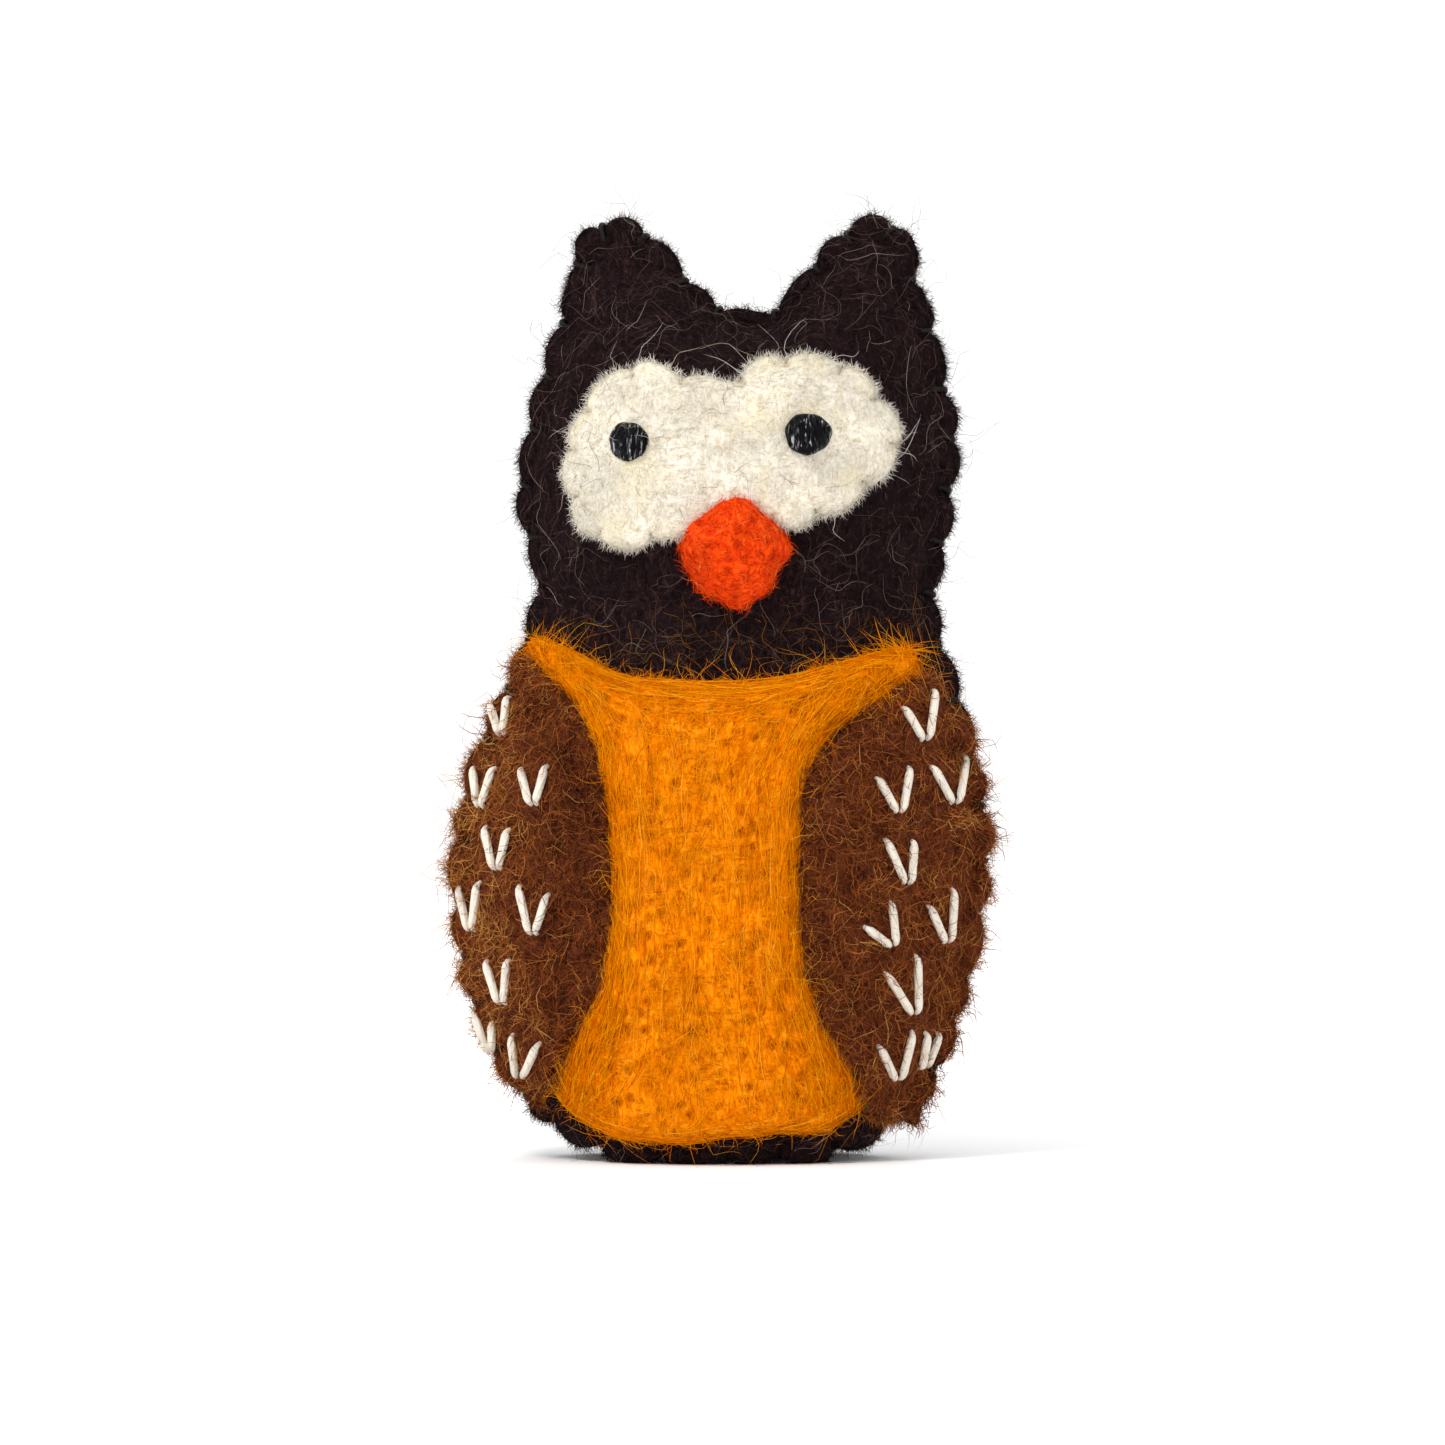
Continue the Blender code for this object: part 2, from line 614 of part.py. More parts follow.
def make_feather(side, number, x, z, share, lean, collection):
    """One V stitch: down one leg, round the point and up the other. It keeps clear of the seam."""
    lift = LAYER_GAP + WING_FELT + THREAD_GAP + FEATHER_THREAD / 2
    half = FEATHER_WIDTH * share / 2
    middle = (half + FEATHER_TURN) / 2
    a = np.array([-half, -middle, -FEATHER_TURN, 0.0, FEATHER_TURN, middle, half])
    foot, tall = FEATHER_FOOT, FEATHER_HEIGHT
    b = np.array([tall, tall / 2, foot, 0.0, foot, tall / 2, tall])
    turn = math.radians(lean)
    px = across(x) + a * math.cos(turn) + b * math.sin(turn)
    pz = up(z) - a * math.sin(turn) + b * math.cos(turn)
    sign = -1 if side == "left" else 1
    margin = WING_BITE + (SEAM_THREAD + FEATHER_THREAD) / 2 + FEATHER_CLEARANCE
    too_far = np.max(sign * (px - wing_edge(side, pz)) + margin)
    points = np.stack(over_panel(px - sign * max(0.0, too_far), pz, lift), axis=1).tolist()
    name = f"feather_stitch_{side}_{number}"
    return make_thread(name, points, FEATHER_THREAD, "cream_thread", collection)


def main():
    for old in list(bpy.data.objects):
        bpy.data.objects.remove(old)
    puppet = bpy.data.collections.new("felt_owl_finger_puppet")
    cutters = bpy.data.collections.new("cutters")
    cutters.hide_render = True
    for group in (puppet, cutters):
        bpy.context.scene.collection.children.link(group)

    corner = up(LEFT_SIDE[0][0])
    band_low = NECK_FOLD - NECK_BAND / 2
    band_high = NECK_FOLD + NECK_BAND / 2
    for name, side in (("front", -1), ("back", 1)):
        torso = panel(f"torso_{name}", side, corner, band_low - BAND_GAP, puppet, hem=True)
        level_hem(torso)
        panel(f"neck_{name}", side, band_low, band_high, puppet)
        panel(f"head_{name}", side, band_high + BAND_GAP, up(EARS[0][1]), puppet, ears=True)
    for side in ("left", "right"):
        make_wing(side, puppet)
        side_seam(side, puppet)
        for number, stitch in enumerate(FEATHERS[side], start=1):
            make_feather(side, number, *stitch, puppet)
    make_bib(puppet)
    head_seam(puppet)
    make_mask(puppet, cutters)
    on_mask = 2 * LAYER_GAP + MASK_FELT
    for side, at, width, height in (
        ("left", EYE_LEFT_AT, EYE_LEFT_WIDTH, EYE_LEFT_HEIGHT),
        ("right", EYE_RIGHT_AT, EYE_RIGHT_WIDTH, EYE_RIGHT_HEIGHT),
    ):
        make_pad(f"eye_{side}", at, oval(width, height), on_mask, EYE_PROUD, "black_thread", puppet)
    make_pad(
        "beak", BEAK_AT, beak_outline, LAYER_GAP, BEAK_PROUD, "orange_red_wool", puppet,
        BEAK_ROUNDNESS,
    )
    make_stuffing(puppet)


main()
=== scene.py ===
"""The looks of a felt owl finger puppet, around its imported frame.

Two dark felt panels are overcast round the edge, with brown felt wings sewn into the same seam, a
combed wool bib and beak needled on, a cream felt mask, thread eyes and V-shaped feather stitches.
The wool itself is modelled too: a short nap on every felt, and long loose fibres over it.
"""

import json
import math

import bpy
import numpy as np
from bpy.props import FloatProperty, FloatVectorProperty, IntProperty, PointerProperty
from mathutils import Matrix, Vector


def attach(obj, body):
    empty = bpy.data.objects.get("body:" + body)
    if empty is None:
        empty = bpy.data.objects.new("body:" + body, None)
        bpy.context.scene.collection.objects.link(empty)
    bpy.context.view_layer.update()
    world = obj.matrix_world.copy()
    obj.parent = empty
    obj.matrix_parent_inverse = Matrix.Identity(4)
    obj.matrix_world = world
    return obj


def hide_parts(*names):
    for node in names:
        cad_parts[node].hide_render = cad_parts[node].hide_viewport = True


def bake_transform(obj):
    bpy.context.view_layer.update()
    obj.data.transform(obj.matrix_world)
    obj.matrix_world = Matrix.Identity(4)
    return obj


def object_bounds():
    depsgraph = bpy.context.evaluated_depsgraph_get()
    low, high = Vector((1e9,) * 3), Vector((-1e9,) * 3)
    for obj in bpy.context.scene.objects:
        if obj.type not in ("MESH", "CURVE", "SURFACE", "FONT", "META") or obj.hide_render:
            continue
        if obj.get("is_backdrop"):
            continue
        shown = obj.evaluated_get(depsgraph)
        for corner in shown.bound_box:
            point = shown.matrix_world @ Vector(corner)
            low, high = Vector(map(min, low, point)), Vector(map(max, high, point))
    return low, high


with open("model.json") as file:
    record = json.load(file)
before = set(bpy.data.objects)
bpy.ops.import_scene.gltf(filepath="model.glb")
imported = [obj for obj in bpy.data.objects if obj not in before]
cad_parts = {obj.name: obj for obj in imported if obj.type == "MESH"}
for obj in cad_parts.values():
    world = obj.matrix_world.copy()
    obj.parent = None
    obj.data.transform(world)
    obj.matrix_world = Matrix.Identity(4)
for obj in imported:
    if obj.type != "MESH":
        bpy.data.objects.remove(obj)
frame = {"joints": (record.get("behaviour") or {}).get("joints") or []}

bl_info = {
    "name": "Felt owl finger puppet",
    "version": (1, 0, 0),
    "blender": (4, 5, 0),
    "location": "3D View > Sidebar > Puppet",
    "description": "Felt, wool and thread for a sewn owl finger puppet",
    "category": "Add Mesh",
}

MM = 0.001
FIBRE_MAP = "OFBake"

# The studio, in metres and watts.
SENSOR_MM = 36.0
CAMERA_AWAY, CAMERA_LIFT_DEG = 1.0, 1.5
VIEW_WIDE = 0.1368
VIEW_MIDDLE_X, VIEW_MIDDLE_Z = 0.0001, 0.0412
LAMPS_AIM = (0, 0, 0.045)
# Name, place, width, power.
LAMPS = (("key", (-0.3, -0.45, 0.65), 0.2, 3.0), ("back", (0.15, 0.5, 0.5), 0.4, 0.8))
SKY_STRENGTH = 1.0
# The paper's flat share of its run, the share that bends up, its half width and its bend's radius.
PAPER_ROWS, PAPER_FLAT, PAPER_BEND = 60, 0.45, 0.2
PAPER_HALF, PAPER_RADIUS = 2.5, 0.5
# Where the flat paper starts and ends, and how far the wall rises per whole run.
PAPER_FRONT, PAPER_BACK, PAPER_WALL = -1.2, 0.7, 6
CAD_LOW, CAD_HIGH = (np.array(corner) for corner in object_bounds())

# The outlines are drawn at this size, in millimetres, and scaled to the frame.
PATTERN_WIDE, PATTERN_TALL = 52.97, 89.61
ACROSS = (CAD_HIGH[0] - CAD_LOW[0]) / (PATTERN_WIDE * MM)
UP = (CAD_HIGH[2] - CAD_LOW[2]) / (PATTERN_TALL * MM)

NECK_FOLD = next(j for j in frame["joints"] if j["name"] == "head_nod")["pos_m"][2]

# Height, place across: the panels' side seams from the hem's corner to the ears.
LEFT_SIDE = [
    (4.6, -18.0), (9.0, -21.0), (15.0, -23.7), (22.0, -25.0), (29.0, -25.2), (36.0, -23.9),
    (43.0, -21.3), (47.0, -19.4), (51.0, -18.0), (55.0, -17.4), (59.0, -18.4), (63.0, -19.1),
    (67.0, -18.5), (71.0, -17.8), (75.0, -16.5), (79.0, -15.4), (82.0, -14.3), (85.0, -14.0),
]
RIGHT_SIDE = [
    (4.6, 18.2), (9.0, 20.7), (15.0, 22.8), (22.0, 24.4), (29.0, 25.3), (36.0, 24.6),
    (41.0, 23.3), (45.0, 22.1), (51.0, 20.4), (55.0, 20.5), (59.0, 21.3), (63.0, 21.8),
    (67.0, 22.2), (71.0, 21.8), (75.0, 20.8), (79.0, 19.7), (82.0, 18.6), (85.0, 18.2),
]
# Place across, height: over both ears.
EARS = [
    (-14.0, 85.0), (-13.2, 87.0), (-11.6, 88.4), (-9.8, 88.7), (-7.6, 88.0), (-5.4, 86.0),
    (-3.2, 83.3), (-1.0, 81.2), (1.4, 80.1), (3.9, 79.9), (6.2, 81.4), (8.4, 84.2),
    (10.4, 86.6), (12.4, 88.2), (14.4, 88.8), (16.4, 88.2), (17.7, 86.8), (18.2, 85.0),
]
TORSO_FULL = [(0.0, 0.94), (12.0, 1.0), (26.0, 1.0), (38.0, 0.96), (46.0, 0.88), (52.8, 0.82)]
HEAD_FULL = [
    (52.8, 0.76), (58.0, 0.88), (66.0, 1.0), (73.0, 0.92), (79.0, 0.62), (84.0, 0.26), (89.0, 0.1),
]
BIB_LEFT = [
    (6.3, -15.2), (11.0, -13.7), (16.0, -11.5), (21.0, -10.3), (30.0, -10.2), (36.0, -11.0),
    (40.0, -12.0), (43.5, -14.0), (46.0, -16.3), (48.0, -18.2),
]
BIB_RIGHT = [
    (5.2, 13.0), (9.5, 11.2), (14.0, 9.0), (18.0, 7.6), (22.0, 7.2), (32.0, 7.2),
    (37.0, 7.9), (40.0, 10.0), (42.6, 13.2), (44.6, 16.4), (46.0, 18.6),
]
BIB_TOP = [
    (-18.2, 48.0), (-17.4, 49.0), (-15.5, 48.4), (-12.9, 47.0), (-8.8, 45.5), (-4.0, 45.0),
    (1.0, 45.0), (6.0, 45.4), (10.6, 46.6), (14.6, 47.6), (17.4, 48.0), (18.6, 46.0),
]
BIB_BOTTOM = [
    (-15.2, 6.3), (-13.2, 4.3), (-10.2, 2.9), (-5.0, 2.4), (0.0, 2.8), (5.0, 3.2), (9.8, 3.5),
    (13.0, 5.2),
]
MASK_TOP = [
    (-13.4, 71.4), (-11.7, 73.2), (-9.4, 74.9), (-7.1, 75.5), (-4.5, 74.8), (-1.3, 74.1),
    (0.4, 73.8), (2.2, 75.0), (4.5, 76.0), (6.9, 76.3), (9.4, 76.0), (12.2, 75.1), (14.8, 73.2),
]
MASK_RIGHT = [(14.2, 62.9), (15.6, 64.4), (16.5, 66.0), (17.2, 68.0), (16.4, 70.4), (14.8, 73.2)]
MASK_BOTTOM = [
    (-13.4, 59.2), (-11.4, 58.0), (-9.0, 57.5), (-6.5, 57.6), (-4.4, 58.4), (0.0, 59.2),
    (4.0, 59.4), (7.4, 59.5), (10.4, 60.5), (12.3, 61.7), (14.2, 62.9),
]
MASK_LEFT = [(-13.4, 59.2), (-14.7, 61.9), (-15.1, 64.9), (-14.7, 67.7), (-13.4, 71.4)]
WING_LEFT_BOTTOM = [(-20.6, 7.6), (-19.3, 5.9), (-18.0, 5.0), (-16.6, 5.0)]
WING_RIGHT_BOTTOM = [(14.2, 4.4), (16.0, 3.3), (18.2, 3.2), (19.7, 5.2), (20.3, 7.6)]
WING_TOPS = {"left": 46.9, "right": 45.2}
WING_TUCKS = {"left": 0.5, "right": 2.4}
TUCK_START = 38.0
EYES = {"left": (-8.7, 67.8, 3.7, 3.7), "right": (8.1, 68.5, 4.4, 3.9)}
BEAK_AT = (1.2, 57.8)
BEAK_HALF_WIDE, BEAK_UP, BEAK_DOWN = 5.2, 4.9, 5.8
STUFFING_AT = (1.3, 67.2)
STUFFING_HALF = (15.0, 10.6)

# Feather stitches: the left leg's top, the point and the right leg's top, across and up.
FEATHERS = {
    "left": [
        (-21.8, 43.1, -20.6, 40.0, -20.0, 43.8), (-23.4, 37.2, -22.7, 33.2, -21.2, 37.2),
        (-18.8, 37.2, -17.6, 33.6, -16.3, 37.5), (-22.2, 31.7, -21.0, 27.4, -19.9, 31.5),
        (-24.8, 25.9, -23.5, 21.5, -22.7, 26.5), (-19.0, 26.3, -17.6, 21.4, -16.1, 25.5),
        (-22.1, 19.1, -20.5, 14.7, -19.9, 19.3), (-23.4, 13.9, -21.8, 9.9, -21.6, 13.1),
        (-19.6, 12.2, -18.9, 7.6, -17.0, 11.4),
    ],
    "right": [
        (16.9, 42.9, 19.1, 39.6, 20.0, 44.6), (14.4, 36.4, 16.6, 32.9, 17.6, 37.4),
        (19.6, 37.4, 21.9, 33.6, 22.9, 38.4), (15.2, 30.7, 17.4, 26.2, 17.9, 30.5),
        (13.3, 22.4, 16.1, 20.4, 15.8, 24.8), (19.3, 24.3, 21.2, 20.5, 21.7, 25.9),
        (15.2, 18.1, 18.1, 13.8, 18.2, 19.8), (14.6, 11.2, 16.5, 7.6, 17.9, 12.6),
        (19.2, 12.3, 18.8, 8.6, 20.4, 12.2),
    ],
}


def linear(code):
    """An sRGB hex colour as linear red, green and blue."""
    parts = np.array([int(code[i : i + 2], 16) for i in (1, 3, 5)]) / 255
    straight = np.where(parts <= 0.04045, parts / 12.92, ((parts + 0.055) / 1.055) ** 2.4)
    return tuple(float(v) for v in straight)


def across(value):
    return value * MM * ACROSS


def up(value):
    return value * MM * UP


def size(default, label, words):
    """A length that a user may change."""
    return FloatProperty(name=label, description=words, default=default, unit="LENGTH", precision=5)


def colour(code, label, words):
    """A colour that a user may change."""
    return FloatVectorProperty(
        name=label, description=words, default=linear(code), size=3, subtype="COLOR", min=0, max=1
    )


class PUPPET_PG_sizes(bpy.types.PropertyGroup):
    """Thicknesses of felt and thread, and how the wool stands."""

    panel_felt: size(1.8 * MM, "Panel felt", "Thickness of the front and back panels")
    wing_felt: size(1.6 * MM, "Wing felt", "Thickness of the wings")
    mask_felt: size(1.5 * MM, "Mask felt", "Thickness of the mask")
    bib_wool: size(2.3 * MM, "Bib wool", "Height of the needled bib over the panel")
    torso_full: size(9.3 * MM, "Torso fullness", "How far each panel stands out at the torso")
    head_full: size(10.0 * MM, "Head fullness", "How far each panel stands out at the head")
    beak_proud: size(4.6 * MM, "Beak height", "How far the beak stands out")
    eye_proud: size(1.5 * MM, "Eye height", "How far the eyes stand out")
    seam_pitch: size(5.2 * MM, "Seam pitch", "Distance between overcast stitches")
    seam_bite: size(2.3 * MM, "Seam bite", "How far inside the edge a stitch goes in")
    scallop: size(1.3 * MM, "Scallop depth", "How far a stitch pulls the edge in")
    seam_thread: size(0.5 * MM, "Seam thread", "Diameter of the seam's thread")
    feather_thread: size(0.8 * MM, "Feather thread", "Width of the thread of the feathers")
    fibre: size(0.06 * MM, "Fibre", "Thickness of a wool fibre, drawn coarser than wool's 0.03 mm")
    nap: size(1.0 * MM, "Nap length", "Length of the short wool fibres")
    stray: size(5.0 * MM, "Loose fibre length", "Length of the long loose fibres")
    nap_per_mm2: FloatProperty(
        name="Nap density", description="Short fibres on each square millimetre", default=7.0
    )
    seed: IntProperty(name="Seed", description="Start of every random draw", default=7)


class PUPPET_PG_colours(bpy.types.PropertyGroup):
    """The felts', wools' and threads' colours."""

    # The deep felt colours are the darkest fibre streaks, partly painted shade between the fibres, and
    # painted shade in the stitch grooves.
    dark_felt: colour("#1E1214", "Dark felt", "Front and back panels")
    dark_deep: colour("#0A0506", "Dark felt, deep", "Between the fibres of the panels")
    brown_felt: colour("#63301A", "Brown felt", "Wings")
    brown_deep: colour("#230E07", "Brown felt, deep", "Between the fibres of the wings")
    cream_felt: colour("#E6DECE", "Cream felt", "Mask")
    cream_deep: colour("#BFB18E", "Cream felt, deep", "Between the fibres of the mask")
    bib_wool: colour("#FF9400", "Yellow-orange wool", "Bib")
    # bib_deep and beak_deep: painted shade in the needle pits, and the darkest fibre streaks.
    bib_deep: colour("#A04800", "Yellow-orange wool, deep", "Needle pits of the bib")
    beak_wool: colour("#F0450A", "Orange-red wool", "Beak")
    beak_deep: colour("#A81A02", "Orange-red wool, deep", "Needle pits of the beak")
    eye_thread: colour("#070709", "Black thread", "Eyes")
    seam_thread: colour("#120A0B", "Dark thread", "Seams")
    feather_thread: colour("#E6DECF", "Cream thread", "Feather stitches")
    stuffing: colour("#E8E1D3", "Stuffing", "Wool in the head")
    studio: colour("#FFFFFF", "Studio", "Floor and backdrop")


def sizes():
    return bpy.context.scene.puppet_sizes


def colours():
    return bpy.context.scene.puppet_colours


# ---------------------------------------------------------------- shapes


def smooth(knots, values, at):
    """A smooth curve through the values: cubic pieces that share their slopes where they meet."""
    knots = np.asarray(knots, float)
    values = np.asarray(values, float)
    slopes = np.gradient(values, knots)
    at = np.clip(at, knots[0], knots[-1])
    i = np.clip(np.searchsorted(knots, at, side="right") - 1, 0, len(knots) - 2)
    step = knots[i + 1] - knots[i]
    f = (at - knots[i]) / step
    ends = values[i] * (1 + 2 * f) * (1 - f) ** 2 + values[i + 1] * f**2 * (3 - 2 * f)
    return ends + step * (slopes[i] * f * (1 - f) ** 2 - slopes[i + 1] * f**2 * (1 - f))


def step_up(low, high, value):
    """0 below low, 1 above high, and three f squared less two f cubed between them."""
    f = np.clip((value - low) / (high - low), 0, 1)
    return f * f * (3 - 2 * f)


def side_at(outline, z):
    heights, places = zip(*outline)
    return smooth(up(np.array(heights)), across(np.array(places)), z)


def ears_at(x):
    places, heights = zip(*EARS)
    return smooth(across(np.array(places)), up(np.array(heights)), x)


def hem_at(x):
    """The hem is level for 8 mm each side, then rises 4.6 mm by the power 1.6 of the rest."""
    corner = -side_at(LEFT_SIDE, 0.0)
    f = np.clip((np.abs(x) - across(8.0)) / (corner - across(8.0)), 0, 1)
    return up(4.6) * f**1.6


def route(points, at):
    """Points along a smooth curve through outline points, by share of its length."""
    points = np.array(points, float)
    along = np.concatenate([[0], np.cumsum(np.hypot(*np.diff(points, axis=0).T))])
    at = np.asarray(at, float) * along[-1]
    return across(smooth(along, points[:, 0], at)), up(smooth(along, points[:, 1], at))


def fullness(x, z):
    """How far a panel stands out at (x, z): the fullness of that height, times one less the power
    2.6 of the share of the way to the side, all to the power 1.35, let down under the ears. The
    last millimetres by the seam are pressed flat against the other panel."""
    left = side_at(LEFT_SIDE, z)
    right = side_at(RIGHT_SIDE, z)
    u = np.clip(np.abs(2 * x - left - right) / (right - left), 0, 1)
    torso_z, torso_share = zip(*TORSO_FULL)
    head_z, head_share = zip(*HEAD_FULL)
    torso = sizes().torso_full * smooth(up(np.array(torso_z)), torso_share, z)
    head = sizes().head_full * smooth(up(np.array(head_z)), head_share, z)
    blend = step_up(NECK_FOLD - 3 * MM, NECK_FOLD + 3 * MM, z)
    deep = torso * (1 - blend) + head * blend
    under_edge = np.clip((ears_at(x) - z) / (0.11 * PATTERN_TALL * MM * UP), 0, 1)
    pressed = step_up(0.9 * MM, 3.2 * MM, edge_distance(x, z, seam_line()))
    return deep * (1 - u**2.6) ** 1.35 * (1 - (1 - under_edge) ** 1.9) * pressed


def waves(x, z, length, seed, count=14):
    """Soft random hills from -1 to 1: a sum of sine waves of about this length, in all directions."""
    rng = np.random.default_rng(seed)
    turn = rng.uniform(0, 2 * math.pi, count)
    reach = 2 * math.pi / (length * rng.uniform(0.7, 1.5, count))
    start = rng.uniform(0, 2 * math.pi, count)
    total = sum(
        np.sin(k * (x * math.cos(a) + z * math.sin(a)) + p) for k, a, p in zip(reach, turn, start)
    )
    return total / math.sqrt(count) * 0.7


def four_sided(bottom, right, top, left, s, t):
    """A patch between four edges: the sum of the two rules between opposite edges, less the one
    between the corners (Coons)."""
    zero, one = np.zeros_like(s), np.ones_like(s)
    edges = [bottom(s), top(s), left(t), right(t)]
    weights = [1 - t, t, 1 - s, s]
    corners = [bottom(zero), bottom(one), top(zero), top(one)]
    shares = [(1 - s) * (1 - t), s * (1 - t), (1 - s) * t, s * t]
    x = sum(w * edge[0] for w, edge in zip(weights, edges))
    z = sum(w * edge[1] for w, edge in zip(weights, edges))
    x = x - sum(w * corner[0] for w, corner in zip(shares, corners))
    z = z - sum(w * corner[1] for w, corner in zip(shares, corners))
    return x, z


def shares(columns, rows):
    """Two grids of shares from 0 to 1, with closer lines near the edges."""
    def spaced(count):
        even = np.linspace(0, 1, count + 1)
        return 0.45 * even + 0.55 * (1 - np.cos(math.pi * even)) / 2

    return np.meshgrid(spaced(columns), spaced(rows))


def ring_of(edges, count=220):
    """The closed outline round four edges, as points in order."""
    bottom, right, top, left = edges
    s = np.linspace(0, 1, count, endpoint=False)
    parts = [bottom(s), right(s), top(1 - s), left(1 - s)]
    return np.concatenate([np.stack(part, axis=1) for part in parts])


def inside(x, z, ring):
    """Whether points lie inside a closed outline: an odd number of its sides passes above."""
    shape = np.shape(x)
    px, pz = np.ravel(x)[:, None], np.ravel(z)[:, None]
    x0, z0 = ring[:, 0], ring[:, 1]
    x1, z1 = np.roll(x0, -1), np.roll(z0, -1)
    spans = (x0 > px) != (x1 > px)
    run = np.where(np.abs(x1 - x0) < 1e-12, 1e-12, x1 - x0)
    above = pz < z0 + (px - x0) * (z1 - z0) / run
    return ((spans & above).sum(axis=1) % 2 == 1).reshape(shape)


def edge_distance(x, z, ring):
    """The distance from each point to the nearest point of a closely spaced outline."""
    found = np.empty(np.size(x))
    px, pz = np.ravel(x), np.ravel(z)
    for start in range(0, len(px), 4000):
        part = slice(start, start + 4000)
        dx = px[part, None] - ring[:, 0]
        dz = pz[part, None] - ring[:, 1]
        found[part] = np.sqrt((dx * dx + dz * dz).min(axis=1))
    return found.reshape(np.shape(x))


def stitches_on(line, pitch, seed, skip=0.5):
    """Overcast stitches along a line of points: where each crosses the edge, the way along it and
    the way in, with a hand sewer's unevenness. The way in is to the right of the way along."""
    rng = np.random.default_rng(seed)
    along = np.concatenate([[0], np.cumsum(np.hypot(*np.diff(line, axis=0).T))])
    count = max(2, round(along[-1] / pitch))
    at = (np.arange(count) + skip + rng.uniform(-0.13, 0.13, count)) * along[-1] / count
    spot = np.stack([np.interp(at, along, line[:, i]) for i in (0, 1)], axis=1)
    ahead = np.stack([np.interp(at + 0.4 * MM, along, line[:, i]) for i in (0, 1)], axis=1)
    behind = np.stack([np.interp(at - 0.4 * MM, along, line[:, i]) for i in (0, 1)], axis=1)
    way = ahead - behind
    way /= np.linalg.norm(way, axis=1)[:, None]
    inward = np.stack([way[:, 1], -way[:, 0]], axis=1)
    pull = rng.uniform(0.7, 1.25, count)
    return {"at": spot, "way": way, "in": inward, "pull": pull}


def joined(*sets):
    return {key: np.concatenate([one[key] for one in sets]) for key in sets[0]}


def puckers(x, z, stitches, bite, wide=0.95 * MM):
    """How the stitches pull a sheet: (notch, groove), each from 0 to 1 and more. The notch falls
    off as e to the power of minus the distance along the edge; the groove is a bell curve across
    each stitch, as long as the bite."""
    notch = np.zeros(np.shape(x))
    groove = np.zeros(np.shape(x))
    for spot, way, inward, pull in zip(*(stitches[k] for k in ("at", "way", "in", "pull"))):
        dx, dz = x - spot[0], z - spot[1]
        a = dx * way[0] + dz * way[1]
        b = dx * inward[0] + dz * inward[1]
        near = np.exp(-np.abs(a) / wide) * np.exp(-((b / (1.6 * bite)) ** 2))
        notch = np.maximum(notch, pull * near)
        line = np.exp(-((a / (0.5 * MM)) ** 2)) * (1 - step_up(0.75 * bite, 1.25 * bite, b))
        line = line * step_up(-3 * MM, -2 * MM, b)
        groove = np.maximum(groove, pull * line)
    return notch, groove


def panel_edges():
    """The four edges of a whole panel, from the hem to the ears."""
    low, high = up(LEFT_SIDE[0][0]), up(EARS[0][1])

    def left(t):
        z = low + (high - low) * t
        return side_at(LEFT_SIDE, z), z

    def right(t):
        z = low + (high - low) * t
        return side_at(RIGHT_SIDE, z), z

    def bottom(s):
        start, end = side_at(LEFT_SIDE, low), side_at(RIGHT_SIDE, low)
        x = start + (end - start) * s
        return x, hem_at(x)

    def top(s):
        start, end = across(EARS[0][0]), across(EARS[-1][0])
        x = start + (end - start) * s
        return x, ears_at(x)

    return bottom, right, top, left


def line_of(*edges, count=300):
    """One line of points through edges taken in order, each from its start to its end."""
    s = np.linspace(0, 1, count)
    return np.concatenate([np.stack(edge(s), axis=1) for edge in edges])


def seam_line():
    """Points up the left side, over the ears and down the right side."""
    _, right, top, left = panel_edges()
    return line_of(left, top, lambda t: right(1 - t))


def seam_stitches():
    """The overcast stitches all along the seam."""
    return stitches_on(seam_line(), sizes().seam_pitch, sizes().seed, skip=0.22)


def hem_stitches(seed):
    """Stitches along the hem of one panel, from the right corner to the left one."""
    bottom = panel_edges()[0]
    return stitches_on(line_of(lambda t: bottom(1 - t)), sizes().seam_pitch, seed)


def unit(vectors):
    return vectors / np.maximum(np.linalg.norm(vectors, axis=-1, keepdims=True), 1e-12)


def grid_normals(points):
    """Unit normals of a grid of points: the way across, crossed with the way up."""
    return unit(np.cross(np.gradient(points, axis=1), np.gradient(points, axis=0)))


def push(x, z, ring, outward):
    """Moves points near a closed outline outward by this much, less the further in they are."""
    nearest = np.empty(np.size(x), int)
    px, pz = np.ravel(x), np.ravel(z)
    for start in range(0, len(px), 4000):
        part = slice(start, start + 4000)
        dx = px[part, None] - ring[:, 0]
        dz = pz[part, None] - ring[:, 1]
        nearest[part] = (dx * dx + dz * dz).argmin(axis=1)
    way = np.roll(ring, -2, axis=0) - np.roll(ring, 2, axis=0)
    out = unit(np.stack([way[:, 1], -way[:, 0]], axis=1))
    away = out[nearest].reshape(*np.shape(x), 2)
    return x + away[..., 0] * outward, z + away[..., 1] * outward


